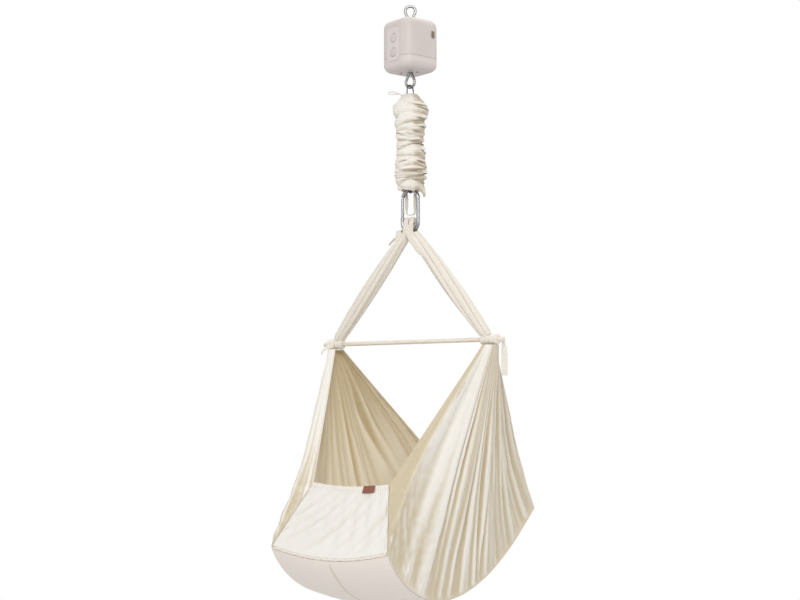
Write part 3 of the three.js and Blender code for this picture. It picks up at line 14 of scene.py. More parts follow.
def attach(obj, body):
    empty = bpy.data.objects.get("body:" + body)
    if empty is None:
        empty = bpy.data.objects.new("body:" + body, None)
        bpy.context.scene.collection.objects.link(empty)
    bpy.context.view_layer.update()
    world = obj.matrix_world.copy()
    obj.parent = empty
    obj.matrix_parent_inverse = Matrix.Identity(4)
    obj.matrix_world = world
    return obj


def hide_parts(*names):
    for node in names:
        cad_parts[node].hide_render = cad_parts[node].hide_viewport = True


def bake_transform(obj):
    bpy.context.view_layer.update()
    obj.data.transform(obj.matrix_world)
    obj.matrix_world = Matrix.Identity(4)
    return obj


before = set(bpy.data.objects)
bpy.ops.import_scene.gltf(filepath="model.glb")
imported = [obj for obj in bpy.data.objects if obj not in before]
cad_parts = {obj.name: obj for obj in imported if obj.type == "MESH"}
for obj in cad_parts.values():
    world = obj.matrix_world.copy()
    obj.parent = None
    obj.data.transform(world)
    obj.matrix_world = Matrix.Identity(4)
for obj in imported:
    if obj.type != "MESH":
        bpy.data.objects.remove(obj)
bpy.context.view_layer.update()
MM = 0.001

# Sizes shared with the part's source, in millimetres
BAR_Z = -955.25
APEX_X = 256
LOOP_RADIUS = 15
GATHER_Z = BAR_Z - LOOP_RADIUS - 0.3
CARABINER_BOTTOM = -644.25
CARABINER_TOP = -525.75
CARABINER_REACH = 25.75
CARABINER_BAR = 5.25
CLOTH = 2.4
BASE_HALF_WIDTH = 182
BASE_HALF_LENGTH = 390
HOUSING_TOP = -41
HOUSING_YAW = math.radians(-17.5)
PLUG_TOP = -259.2
LOWER_PLUG_BOTTOM = -498.8

FULL_TURN = 2 * math.pi
QUARTER_TURN = math.pi / 2
TINY = 1e-9
CLOSED_RADIUS = 0.01


def mix(a, b, t):
    return a + (b - a) * t


def smooth(x):
    """Eases from 0 to 1 as x does"""
    t = np.clip(x, 0.0, 1.0)
    return t * t * (3 - 2 * t)


# Camera: the photograph's view

FOCAL_PIXELS = 1433.0
PHOTO_WIDTH = 800
CAMERA_PLACE = (2.1522, -3.3857, -1.1613)
CAMERA_AZIMUTH = math.radians(32.86)
CAMERA_ELEVATION = math.radians(-4.62)


def add_object(name, data):
    obj = bpy.data.objects.new(name, data)
    bpy.context.scene.collection.objects.link(obj)
    return obj


def face_back(obj, place, back):
    """Puts an object at a place, with its back to a direction"""
    obj.location = place
    obj.rotation_mode = "QUATERNION"
    obj.rotation_quaternion = back.to_track_quat("Z", "Y")


def make_camera():
    data = bpy.data.cameras.new("camera")
    data.sensor_width = 36
    data.lens = FOCAL_PIXELS / PHOTO_WIDTH * data.sensor_width
    data.clip_end = 60
    cam = add_object("camera", data)
    aside, ahead = math.sin(CAMERA_AZIMUTH), -math.cos(CAMERA_AZIMUTH)
    level, rise = math.cos(CAMERA_ELEVATION), math.sin(CAMERA_ELEVATION)
    face_back(cam, CAMERA_PLACE, Vector((aside * level, ahead * level, rise)))
    bpy.context.scene.camera = cam


make_camera()


# Mesh helpers


def remove_object(obj):
    mesh = obj.data
    bpy.data.objects.remove(obj)
    bpy.data.meshes.remove(mesh)


def swap_mesh(obj, mesh):
    old = obj.data
    obj.data = mesh
    bpy.data.meshes.remove(old)


def take_result(obj):
    """A new mesh with the object's modifiers applied; the object loses them"""
    graph = bpy.context.evaluated_depsgraph_get()
    mesh = bpy.data.meshes.new_from_object(obj.evaluated_get(graph))
    obj.modifiers.clear()
    return mesh


def shade_smooth(mesh, sharp):
    """Smooth shading, except at edges that turn by more than sharp degrees"""
    mesh.polygons.foreach_set("use_smooth", np.ones(len(mesh.polygons), bool))
    mesh.set_sharp_from_angle(angle=math.radians(sharp))
    mesh.update()


def mesh_object(name, points, faces, uv=None, sharp=50, scale=MM):
    """points in millimetres, faces as lists of indices, uv as one pair a point"""
    mesh = bpy.data.meshes.new(name)
    points = np.asarray(points, float) * scale
    mesh.from_pydata(points.tolist(), [], [list(map(int, f)) for f in faces])
    if uv is not None:
        layer = mesh.uv_layers.new(name="UVMap")
        loops = np.zeros(len(mesh.loops), int)
        mesh.loops.foreach_get("vertex_index", loops)
        layer.data.foreach_set("uv", uv[loops].ravel())
    mesh.validate()
    shade_smooth(mesh, sharp)
    return add_object(name, mesh)


def outward(obj):
    mesh = bmesh.new()
    mesh.from_mesh(obj.data)
    bmesh.ops.recalc_face_normals(mesh, faces=mesh.faces)
    mesh.to_mesh(obj.data)
    mesh.free()


def circle(count):
    """Angles once round"""
    return np.linspace(0, FULL_TURN, count, endpoint=False)


def arc(centre, radius, angles):
    """Pairs of places round a centre in a plane"""
    return [(centre[0] + radius * math.cos(a), centre[1] + radius * math.sin(a)) for a in angles]


def unit_grid(columns, rows):
    return np.meshgrid(np.linspace(0, 1, columns), np.linspace(0, 1, rows), indexing="ij")


def uv_pairs(along, across):
    return np.stack(np.meshgrid(along, across, indexing="ij"), axis=2).reshape(-1, 2)


def hill(x, centre, width):
    """One at the centre, falling smoothly to zero on both sides"""
    return np.exp(-(((x - centre) / width) ** 2))


def travelled(line):
    """How far along a line of points each of them lies"""
    return np.r_[0, np.cumsum(np.linalg.norm(np.diff(line, axis=0), axis=1))]


def unit(vectors):
    return vectors / np.maximum(np.linalg.norm(vectors, axis=-1, keepdims=True), TINY)


def grid_faces(rows, columns, start=0, wrap=False, flip=False):
    faces = []
    last = columns if wrap else columns - 1
    for i in range(rows - 1):
        for j in range(last):
            k = (j + 1) % columns
            a, b = start + i * columns + j, start + i * columns + k
            c, d = start + (i + 1) * columns + k, start + (i + 1) * columns + j
            faces.append((a, d, c, b) if flip else (a, b, c, d))
    return faces


def double_faces(rows, columns):
    """Faces of two equal grids, one stored after the other, and of the rim between them"""
    count = rows * columns
    faces = grid_faces(rows, columns) + grid_faces(rows, columns, count, flip=True)
    rim = [(i, 0) for i in range(rows)] + [(rows - 1, j) for j in range(1, columns)]
    rim += [(i, columns - 1) for i in range(rows - 2, -1, -1)]
    rim += [(0, j) for j in range(columns - 2, 0, -1)]
    index = [i * columns + j for i, j in rim]
    faces += [(a, a + count, b + count, b) for a, b in zip(index, index[1:] + index[:1])]
    return faces


def grid_normals(points):
    return unit(np.cross(np.gradient(points, axis=0), np.gradient(points, axis=1)))


def depth_of(lift, reach, scale):
    """How far each place lies in a valley, from the fold heights across the cloth"""
    kernel = np.ones(2 * reach + 1) / (2 * reach + 1)
    padded = np.pad(lift, ((reach, reach), (0, 0)), mode="edge")
    mean = np.apply_along_axis(lambda row: np.convolve(row, kernel, "valid"), 0, padded)
    return np.clip((mean - lift) / scale, -1, 1)


# Stores painted shade as the deep attribute, by which the cloth materials darken
def set_depth(obj, values):
    layer = obj.data.attributes.new("deep", "FLOAT", "POINT")
    layer.data.foreach_set("value", np.asarray(values, np.float32).ravel())


def cloth_object(name, points, thickness=CLOTH, deep=None, inner=None):
    """A closed cloth round a grid of middle points

    deep is painted shade that darkens its valleys and shaded parts, and inner names the face, front
    or back, with the second material.
    """
    rows, columns = points.shape[:2]
    normal = grid_normals(points)
    front, back = points + normal * thickness / 2, points - normal * thickness / 2
    sides = np.concatenate([front.reshape(-1, 3), back.reshape(-1, 3)])
    uv = uv_pairs(travelled(points[:, columns // 2]), travelled(points[rows // 2])) * MM
    obj = mesh_object(name, sides, double_faces(rows, columns), np.concatenate([uv, uv]))
    if deep is not None:
        both = deep if isinstance(deep, tuple) else (deep, -deep)
        set_depth(obj, np.concatenate([side.ravel() for side in both]))
    if inner is not None:
        per_face = (rows - 1) * (columns - 1)
        slots = np.zeros(len(obj.data.polygons), np.int32)
        first = per_face if inner == "back" else 0
        slots[first : first + per_face] = 1
        obj.data.materials.append(None)
        obj.data.materials.append(None)
        obj.data.polygons.foreach_set("material_index", slots)
    outward(obj)
    return obj


def ring_object(name, rings, closed=False, uv=None, sharp=50):
    """A skin over rings of points; open ends are capped with fans"""
    rings = np.asarray(rings, float)
    rows, sides = rings.shape[:2]
    points = rings.reshape(-1, 3)
    faces = grid_faces(rows, sides, wrap=True)
    following = [(j, (j + 1) % sides) for j in range(sides)]
    if closed:
        last = (rows - 1) * sides
        faces += [(last + j, last + k, k, j) for j, k in following]
    else:
        for row in (0, rows - 1):
            hub = len(points)
            points = np.vstack([points, rings[row].mean(axis=0)])
            faces += [(row * sides + j, row * sides + k, hub) for j, k in following]
    if uv is not None:
        uv = np.vstack([uv, np.zeros((len(points) - len(uv), 2))])
    obj = mesh_object(name, points, faces, uv, sharp)
    outward(obj)
    return obj


def frames_along(path):
    """Two cross directions at each point, which turn as little as they can"""
    tangent = unit(np.gradient(path, axis=0))
    side = np.zeros_like(path)
    start = np.array([0.0, 0.0, 1.0]) if abs(tangent[0][2]) < 0.9 else np.array([1.0, 0, 0])
    current = start - tangent[0] * start.dot(tangent[0])
    for i, t in enumerate(tangent):
        current = current - t * current.dot(t)
        current /= max(np.linalg.norm(current), TINY)
        side[i] = current
    return side, np.cross(tangent, side)


def tube(name, path, radius, sides):
    side, other = frames_along(path)
    angles = circle(sides)[None, :, None]
    ring = side[:, None] * np.cos(angles) + other[:, None] * np.sin(angles)
    radius = np.broadcast_to(np.asarray(radius, float), (len(path),))
    return ring_object(name, path[:, None] + ring * radius[:, None, None])


def smooth_line(points, count):
    """A smooth line through the points, evenly spaced"""
    points = np.asarray(points, float)
    padded = np.vstack([2 * points[0] - points[1], points, 2 * points[-1] - points[-2]])
    fine = []
    for p0, p1, p2, p3 in zip(padded, padded[1:], padded[2:], padded[3:]):
        square, cube = 2 * p0 - 5 * p1 + 4 * p2 - p3, 3 * p1 - p0 - 3 * p2 + p3
        for t in np.linspace(0, 1, 24, endpoint=False):
            fine.append(0.5 * (2 * p1 + (p2 - p0) * t + square * t**2 + cube * t**3))
    fine = np.array([*fine, points[-1]])
    along = travelled(fine)
    at = np.linspace(0, along[-1], count)
    return np.stack([np.interp(at, along, fine[:, k]) for k in range(3)], axis=1)


def noise_field(points, scale, seed):
    """Smooth noise from -1 to 1 at each point; scale is cycles a millimetre"""
    places = points.reshape(-1, 3) * np.asarray(scale)
    values = [noise.noise(Vector((x + seed, y - seed, z + 2 * seed))) for x, y, z in places]
    return np.array(values).reshape(points.shape[:-1])


def join_objects(name, objects):
    """One mesh from several, each with its own place kept"""
    mesh = bmesh.new()
    for obj in objects:
        mesh.from_mesh(obj.data)
        remove_object(obj)
    data = bpy.data.meshes.new(name)
    mesh.to_mesh(data)
    mesh.free()
    return add_object(name, data)


# Materials


# Each material under its own name; the frame's materials may share one, so Blender renames some
M = {}


class Nodes:
    """Makes the nodes and links of one tree"""

    def __init__(self, tree):
        self.tree = tree

    def fill(self, node, inputs):
        """Links a socket to an output or sets it to a constant; None leaves it as it is"""
        for socket, value in inputs.items():
            if isinstance(value, bpy.types.NodeSocket):
                self.tree.links.new(value, node.inputs[socket])
            elif value is not None:
                node.inputs[socket].default_value = value

    def add(self, kind, output, inputs, **settings):
        """Adds a node and returns the named output"""
        node = self.tree.nodes.new(kind)
        for key, value in settings.items():
            setattr(node, key, value)
        self.fill(node, inputs)
        return node.outputs[output]

    def coordinates(self, output="Object", scale=(1, 1, 1)):
        source = self.add("ShaderNodeTexCoord", output, {})
        return self.add("ShaderNodeMapping", "Vector", {"Vector": source, "Scale": scale})

    def noise(self, vector, scale, detail, roughness=0.5, distortion=0.0):
        inputs = {"Vector": vector, "Scale": scale, "Detail": detail}
        inputs |= {"Roughness": roughness, "Distortion": distortion}
        return self.add("ShaderNodeTexNoise", "Fac", inputs)

    def wave(self, vector, scale, direction, distortion, detail_scale=1.0):
        inputs = {"Vector": vector, "Scale": scale, "Distortion": distortion}
        inputs |= {"Detail": 2.0, "Detail Scale": detail_scale}
        settings = {"wave_type": "BANDS", "bands_direction": direction}
        return self.add("ShaderNodeTexWave", "Fac", inputs, **settings)

    def ramp(self, value, low, high, *more):
        """Colours at places along a ramp, each as a pair of place and colour"""
        stops = (low, high, *more)
        color = self.add("ShaderNodeValToRGB", "Color", {"Fac": value})
        elements = color.node.color_ramp.elements
        while len(elements) < len(stops):
            elements.new(0.5)
        for element, (place, shade) in zip(elements, stops):
            element.position = place
            element.color = (*shade, 1)
        return color

    def span(self, value, low, high):
        inputs = {"Value": value, "To Min": low, "To Max": high}
        return self.add("ShaderNodeMapRange", "Result", inputs)

    def math(self, operation, a, b):
        return self.add("ShaderNodeMath", "Value", {0: a, 1: b}, operation=operation)

    def blend_color(self, factor, a, b, kind="MIX"):
        inputs = {0: factor, 6: a, 7: b}
        return self.add("ShaderNodeMix", 2, inputs, data_type="RGBA", blend_type=kind)

    def bump(self, height, distance, strength, base=None):
        inputs = {"Strength": strength, "Distance": distance, "Height": height, "Normal": base}
        return self.add("ShaderNodeBump", "Normal", inputs)


class Surface(Nodes):
    """The nodes of a material round its main shader"""

    def __init__(self, name, color, roughness, specular=None, metallic=0.0):
        self.material = M[name] = bpy.data.materials.new(name)
        self.material.use_nodes = True
        super().__init__(self.material.node_tree)
        self.shader = self.tree.nodes["Principled BSDF"]
        base = {"Base Color": (*color, 1), "Roughness": roughness, "Metallic": metallic}
        self.fill(self.shader, base | {"Specular IOR Level": specular})

    def finish(self, color, roughness=None, normal=None):
        self.fill(self.shader, {"Base Color": color, "Roughness": roughness, "Normal": normal})


# Shares of the cloth's colour in its painted shade, passed as fold
YELLOW_SHADE = (0.63, 0.54, 0.37)
BROWN_SHADE = (0.64, 0.57, 0.46)
WARM_BROWN_SHADE = (0.58, 0.51, 0.41)
WHITE = (1, 1, 1)


def cotton(name, color, deep, blotch=5.0, shade=0.75, space="UV", fold=YELLOW_SHADE):
    """Woven cotton: warp and weft with slubs, soft tonal drift and small creases

    Painted shade: where the deep attribute is set, the colour goes towards the colour times fold,
    by up to the share shade.
    """
    n = Surface(name, color, 0.9, 0.25)
    n.fill(n.shader, {"Sheen Weight": 0.25, "Sheen Roughness": 0.5})
    thread = n.coordinates(space)
    place = n.coordinates()
    warp = n.wave(thread, 700, "X", 1.2, 0.4)
    weft = n.wave(thread, 700, "Y", 1.2, 0.4)
    weave = n.math("MAXIMUM", warp, weft)
    slub_x = n.noise(n.coordinates(space, (60, 1400, 1)), 1.0, 2)
    slub_y = n.noise(n.coordinates(space, (1400, 60, 1)), 1.0, 2)
    slubs = n.math("ADD", slub_x, slub_y)
    drift = n.noise(place, blotch, 3)
    creases = n.noise(place, 38, 5, 0.55, 0.4)
    tone = n.ramp(drift, (0.3, deep), (0.7, color))
    fleck = n.ramp(slubs, (0.7, (0.965, 0.96, 0.95)), (1.15, WHITE))
    flecked = n.blend_color(0.8, tone, fleck, "MULTIPLY")
    # Painted shade: the deep attribute says how far the colour darkens towards the shade colour
    valley = n.add("ShaderNodeAttribute", "Fac", {}, attribute_name="deep")
    amount = n.math("MULTIPLY", n.math("MAXIMUM", valley, 0.0), shade)
    folded = (*(c * share for c, share in zip(color, fold)), 1)
    shaded = n.blend_color(amount, flecked, folded)
    soft = n.bump(creases, 0.0006, 0.6)
    fine = n.bump(n.math("ADD", weave, slubs), 0.00014, 0.35, soft)
    n.finish(shaded, n.span(slubs, 0.84, 0.96), fine)


def webbing(name, color, deep, ribs=380):
    n = Surface(name, color, 0.85, 0.3)
    n.fill(n.shader, {"Sheen Weight": 0.2})
    place = n.coordinates()
    rib = n.wave(place, ribs, "Z", 0.6)
    drift = n.noise(place, 60, 3)
    normal = n.bump(rib, 0.0003, 0.6)
    n.finish(n.ramp(drift, (0.3, deep), (0.7, color)), n.span(rib, 0.78, 0.92), normal)


def plastic(name, color, roughness=0.5):
    """Moulded plastic with a fine spark-eroded grain"""
    n = Surface(name, color, roughness, 0.45)
    place = n.coordinates()
    fine = n.noise(place, 1500, 2)
    wide = n.noise(place, 14, 3)
    low, high = (tuple(max(0.0, c + shift) for c in color) for shift in (-0.012, 0.012))
    tone = n.ramp(wide, (0.35, low), (0.65, high))
    polish = n.span(fine, roughness - 0.06, roughness + 0.08)
    n.finish(tone, polish, n.bump(fine, 0.00006, 0.5))


def metal(name, color, roughness, scratch=0.00001, edge=0.5):
    """Metal with fine brushed lines; edge is its reflection at a low angle"""
    n = Surface(name, color, roughness, metallic=1.0)
    lines = n.noise(n.coordinates(scale=(1, 1, 8)), 320, 3)
    wide = n.noise(n.coordinates(), 45, 3)
    dark = tuple(c * 0.86 for c in color)
    tone = n.ramp(wide, (0.3, dark), (0.7, color))
    n.fill(n.shader, {"Specular Tint": (edge, edge, edge, 1)})
    polish = n.span(lines, max(0.04, roughness - 0.08), roughness + 0.12)
    n.finish(tone, polish, n.bump(lines, scratch, 0.4))


def wood(name):
    """Pale straight-grained wood along X"""
    n = Surface(name, (0.8, 0.6, 0.38), 0.55, 0.35)
    rings = n.noise(n.coordinates(scale=(2.2, 60, 60)), 5.0, 6, 0.6, 0.8)
    pores = n.noise(n.coordinates(scale=(30, 900, 900)), 1.0, 2)
    dark, middle, pale = (0.74, 0.63, 0.50), (0.86, 0.79, 0.69), (0.92, 0.87, 0.80)
    tone = n.ramp(rings, (0.25, dark), (0.45, middle), (0.75, pale))
    pore_tone = n.ramp(pores, (0.4, (0.7, 0.6, 0.5)), (0.6, WHITE))
    mixed = n.blend_color(0.35, tone, pore_tone, "MULTIPLY")
    n.finish(mixed, n.span(rings, 0.48, 0.66), n.bump(pores, 0.00008, 0.5))


def leather(name):
    n = Surface(name, (0.40, 0.13, 0.07), 0.55)
    place = n.coordinates()
    cells = {"Vector": place, "Scale": 900}
    grain = n.add("ShaderNodeTexVoronoi", "Distance", cells, feature="DISTANCE_TO_EDGE")
    drift = n.noise(place, 120, 4)
    tone = n.ramp(drift, (0.3, (0.17, 0.055, 0.03)), (0.7, (0.31, 0.105, 0.058)))
    n.finish(tone, n.span(drift, 0.45, 0.68), n.bump(grain, 0.00015, 0.7))


cotton("cotton", (0.86, 0.81, 0.73), (0.82, 0.765, 0.675), fold=BROWN_SHADE)
cotton("cotton_side", (0.90, 0.865, 0.80), (0.875, 0.83, 0.755), shade=0.85)
# Painted shade: a darker, yellower copy of cotton_side for the side panels' inner faces
cotton("cotton_inner", (0.89, 0.81, 0.645), (0.86, 0.77, 0.595), shade=0.85)
cotton("cotton_base", (0.86, 0.785, 0.725), (0.83, 0.755, 0.69))
cotton("cotton_cover", (0.90, 0.86, 0.79), (0.87, 0.82, 0.745), shade=0.95, fold=WARM_BROWN_SHADE)
# Painted shade: a darker copy of the cloth for the end panels, which face the lamps most
cotton("cotton_white", (0.85, 0.82, 0.78), (0.82, 0.79, 0.74))
cotton("quilt", (0.88, 0.86, 0.80), (0.85, 0.82, 0.75), blotch=8, space="Object")
webbing("webbing", (0.93, 0.885, 0.79), (0.89, 0.835, 0.73))
webbing("strap", (0.80, 0.75, 0.66), (0.75, 0.69, 0.59))
# Painted shade: the dark cord along the end panels' side edges
webbing("shadow_cord", (0.42, 0.375, 0.32), (0.36, 0.315, 0.26))
webbing("rope", (0.86, 0.82, 0.74), (0.78, 0.73, 0.64), 900)
webbing("taupe", (0.26, 0.19, 0.14), (0.20, 0.145, 0.105))
plastic("housing", (0.63, 0.565, 0.54))
# Painted light: a lighter copy of the housing plastic for the lower shell, which sits in shade
plastic("housing_low", (0.67, 0.60, 0.575))
plastic("panel", (0.69, 0.62, 0.60), 0.45)
plastic("button", (0.62, 0.56, 0.535), 0.42)
plastic("board", (0.03, 0.14, 0.07))
plastic("black_plastic", (0.03, 0.03, 0.032))
plastic("nylon", (0.78, 0.76, 0.70), 0.45)
metal("steel", (0.33, 0.33, 0.325), 0.34, 0.000005, 0.12)
metal("carabiner", (0.31, 0.305, 0.31), 0.26, 0.000003, 0.02)
metal("dark_steel", (0.17, 0.17, 0.175), 0.34)
metal("zinc", (0.55, 0.56, 0.57), 0.4)
metal("brass", (0.72, 0.52, 0.24), 0.3)
wood("wood")
leather("leather")


def put(obj, key, body, replaced, inner=None):
    """Gives a piece its material, what it replaces, its slot and the body it rides on"""
    slots = np.zeros(len(obj.data.polygons), np.int32)
    obj.data.polygons.foreach_get("material_index", slots)
    obj.data.materials.clear()
    obj.data.materials.append(M[key])
    if inner:
        obj.data.materials.append(M[inner])
        obj.data.polygons.foreach_set("material_index", slots)
    if replaced:
        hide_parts(*replaced)
    if body:
        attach(obj, body)


# Drawstring: a free loop of cord at the cover's top

DRAWSTRING = [
    (-18.5, -13, 3.5),
    (-25, -16.5, 8.7),
    (-34, -21, 12.7),
    (-43, -24, 15.7),
    (-50, -27.5, 15.2),
    (-53.5, -31.5, 12.2),
    (-50.5, -34.5, 8.7),
    (-43.5, -33, 7.2),
    (-34.5, -28, 7.7),
    (-24, -22.5, 7),
    (-13, -18.5, 3.5),
]


def make_drawstring():
    line = smooth_line([(x, y, PLUG_TOP + rise) for x, y, rise in DRAWSTRING], 60)
    cord = tube("drawstring_cord", line, 1.3, 10)
    put(cord, "rope", "spring_top", ["drawstring"])


make_drawstring()


# The cloth cradle's surfaces, as the part's source has them

FRONT_DROP = 545
BACK_DROP = 475
LONG_SAG = 172
CROSS_SAG = 24
GATHER_HALF_WIDTH = 22
GATHER_HALF_DEPTH = 24
GATHER_SPREAD = 125


def base_line(share):
    skewed = np.clip(share, 0, 1) ** 0.8
    return BAR_Z - mix(FRONT_DROP, BACK_DROP, share) - LONG_SAG * 4 * skewed * (1 - skewed)


def base_point(share, side):
    share, side = np.broadcast_arrays(np.asarray(share, float), np.asarray(side, float))
    y = mix(-BASE_HALF_LENGTH, BASE_HALF_LENGTH, share)
    z = base_line(share) - CROSS_SAG * (1 - side * side)
    return np.stack([side * BASE_HALF_WIDTH, y, z], axis=-1)


FRONT_RIM = np.array([121.0, -290.0, BAR_Z - FRONT_DROP + 162])
BACK_RIM = np.array([140.0, 340.0, BAR_Z - BACK_DROP + 155])
FRONT_FOOT = base_point(0, 1)
BACK_FOOT = base_point(1, 1)
FRONT_EDGE = np.linalg.norm(FRONT_RIM - FRONT_FOOT)
BACK_EDGE = np.linalg.norm(BACK_RIM - BACK_FOOT)
WHOLE_EDGE = FRONT_EDGE + BACK_EDGE + 2 * BASE_HALF_LENGTH * 1.13
U_FRONT = FRONT_EDGE / WHOLE_EDGE
U_BACK = 1 - BACK_EDGE / WHOLE_EDGE


def lower_edge(u):
    u = u[..., None]
    front = mix(FRONT_RIM, FRONT_FOOT, u / U_FRONT)
    back = mix(BACK_FOOT, BACK_RIM, (u - U_BACK) / (1 - U_BACK))
    share = np.clip((u[..., 0] - U_FRONT) / (U_BACK - U_FRONT), 0, 1)
    middle = base_point(share, np.ones_like(share))
    return np.where(u <= U_FRONT, front, np.where(u >= U_BACK, back, middle))


def gather_point(u):
    angle = np.radians(mix(-GATHER_SPREAD, GATHER_SPREAD, u))
    x = APEX_X + GATHER_HALF_WIDTH * np.cos(angle)
    return np.stack([x, GATHER_HALF_DEPTH * np.sin(angle), np.full_like(angle, GATHER_Z)], axis=-1)


def corner_pull(u):
    low = lower_edge(u)
    front_fade = 1 - smooth((u - U_FRONT) / 0.16)
    back_fade = 1 - smooth((U_BACK - u) / 0.16)
    middle = (FRONT_RIM - FRONT_FOOT) * front_fade[..., None]
    middle = middle + (BACK_RIM - BACK_FOOT) * back_fade[..., None]
    u = u[..., None]
    return np.where(u <= U_FRONT, FRONT_RIM - low, np.where(u >= U_BACK, BACK_RIM - low, middle))


def side_base(u, v):
    """The panel from its gather, at v = 0, to its lower edge, with wide soft waves"""
    p = mix(gather_point(u), lower_edge(u), v[..., None])
    p = p + corner_pull(u) * (0.6 * v * (1 - v**6))[..., None]
    fade = np.sin(math.pi * v) * np.minimum(1, np.minimum(12 * u, 12 * (1 - u)))
    p[..., 0] += 5 * fade * np.cos(FULL_TURN * 7 * u)
    return p


def fold_sum(u, v, seed, terms):
    """Waves across the cloth, each with a count, a size and a power, that drift along it"""
    rng = np.random.default_rng(seed)
    total = np.zeros_like(u)
    for count, size, power in terms:
        phase = rng.uniform(0, FULL_TURN)
        bend = rng.uniform(-1.6, 1.6)
        drift = bend * np.sin(math.pi * v + rng.uniform(0, 6))
        wave = np.cos(FULL_TURN * count * u + phase + drift)
        total += size * np.sign(wave) * np.abs(wave) ** power
    return total


def pleats(u, v, seed, first, last, count, size):
    """Pleats that fan out from the gather: a gentle flank in front, a steep one behind"""
    rng = np.random.default_rng(seed)
    pitch = (last - first) / count
    total = np.zeros_like(u)
    for k in range(count):
        centre = first + pitch * (k + 0.5 + rng.uniform(-0.28, 0.28))
        width = pitch * rng.uniform(0.6, 0.95)
        height = size * rng.uniform(0.5, 1.2)
        start = rng.uniform(-0.2, 0.16)
        bend = width * rng.uniform(-0.5, 0.5)
        wander = bend * np.sin(math.pi * v * rng.uniform(0.8, 1.7) + rng.uniform(0, 6.28))
        t = (u - centre - wander) / width
        shape = np.where(t < 0, hill(t, 0, 0.8), hill(t, 0, 0.26))
        swell = 0.8 + 0.35 * np.sin(math.pi * v * rng.uniform(1, 2.4) + rng.uniform(0, 6.28))
        total += height * shape * swell * smooth((v - start) / 0.2)
    return total


def side_folds(side, u, v):
    """Fold heights of the right panel or the left one, before they fade towards its edges"""
    if side > 0:
        folds = pleats(u, v, 7, 0.31, 0.875, 15, 14.0)
        folds += pleats(u, v, 8, 0.03, 0.31, 7, 2.6) * (1 - 0.6 * smooth((v - 0.25) / 0.2))
        folds += pleats(u, v, 9, 0.31, 0.99, 33, 3.0)
    else:
        folds = -pleats(1 - u, v, 12, 0.03, 0.97, 11, 14.0) * (1 - 0.55 * smooth((v - 0.3) / 0.4))
        folds -= pleats(1 - u, v, 13, 0.02, 0.98, 24, 4.5)
    return folds + fold_sum(u, v, 7 if side > 0 else 11, [(12, 1.2, 1.0), (19, 0.8, 1.0)])


def side_points(side, columns, rows):
    u, v = unit_grid(columns, rows)
    p = side_base(u, v)
    width = np.linalg.norm(np.gradient(p, axis=0), axis=2) * columns
    narrow = np.clip(width / 760, 0.06, 1.25) ** 0.8
    rim = np.minimum(u, 1 - u)
    edge = smooth(rim / 0.02)
    foot = smooth((1 - v) / 0.02)
    reach = smooth(v / 0.04) * (1 - 0.45 * smooth((v - 0.8) / 0.2)) * foot
    lift = side_folds(side, u, v) * reach * narrow * edge
    gathers = np.cos(FULL_TURN * 64 * u + 5 * noise_field(p, 0.006, 3.1))
    lift += 0.6 * gathers * smooth((v - 0.92) / 0.06) * foot * edge
    crumple = noise_field(p, (0.022, 0.022, 0.012), 1.7) + 0.5 * noise_field(p, 0.05, 4.2)
    lift += 1.4 * crumple * smooth(v / 0.2) * smooth((1 - v) / 0.05) * edge
    corner = hill(u, 0.17, 0.13) * hill(v, 0.97, 0.2)
    slack = noise_field(p, (0.02, 0.045, 0.016), 5.9) + 0.4 * noise_field(p, 0.07, 8.1)
    lift += 4.2 * slack * corner * smooth((1 - v) / 0.03) * edge
    hem = 0.9 * (1 - smooth((rim - 0.019) / 0.002)) - 0.9 * hill(rim, 0.0215, 0.0016)
    lift += hem * smooth(v / 0.03)
    return p + grid_normals(p) * lift[..., None], lift


def make_side(name, side):
    columns, rows = ((600, 110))
    points, lift = side_points(side, columns, rows)
    outer = np.sign(grid_normals(points)[columns // 2, rows // 2, 0])
    points[..., 0] *= side
    facing = np.sign(grid_normals(points)[columns // 2, rows // 2, 0]) * side
    # Painted shade in the pleats' valleys, on both faces
    deep = depth_of(lift * outer, 13, 3.2) * facing
    along = np.linspace(0, 1, columns)[:, None]
    level = np.linspace(0, 1, rows)[None]
    # More painted shade: over the pleated back part, the lower front corner and, on the right
    # panel, the turned front edge
    painted_shade = 0.78 * smooth((along - 0.29) / 0.06)
    painted_shade = painted_shade + 0.9 * hill(along, 0.15, 0.15) * hill(level, 0.97, 0.3)
    if side > 0:
        painted_shade = painted_shade + 1.15 * (1 - smooth((along - 0.08) / 0.1)) * (1 - 0.35 * level)
        deep = deep * (1 - 0.45 * smooth((along - 0.45) / 0.25))
    # Painted shade on the inner face, darkest near the gather
    inside = 0.85 * (1 - smooth((level - 0.1) / 0.75)) * smooth(along / 0.03)
    inside = inside * mix(0.1, 1, smooth((1 - along) / 0.16))
    shades = (painted_shade, inside) if facing > 0 else (inside, painted_shade)
    share = (0.9, 0.65) if facing > 0 else (0.65, 0.9)
    front = np.clip(share[0] * deep + shades[0], -1, 1)
    back = np.clip(shades[1] - share[1] * deep, -1, 1)
    inner = "back" if facing > 0 else "front"
    obj = cloth_object(f"cloth_side_{name}", points, deep=(front, back), inner=inner)
    put(obj, "cotton_side", "cradle", [f"side_panel_{name}"], "cotton_inner")


make_side("right", 1)
make_side("left", -1)


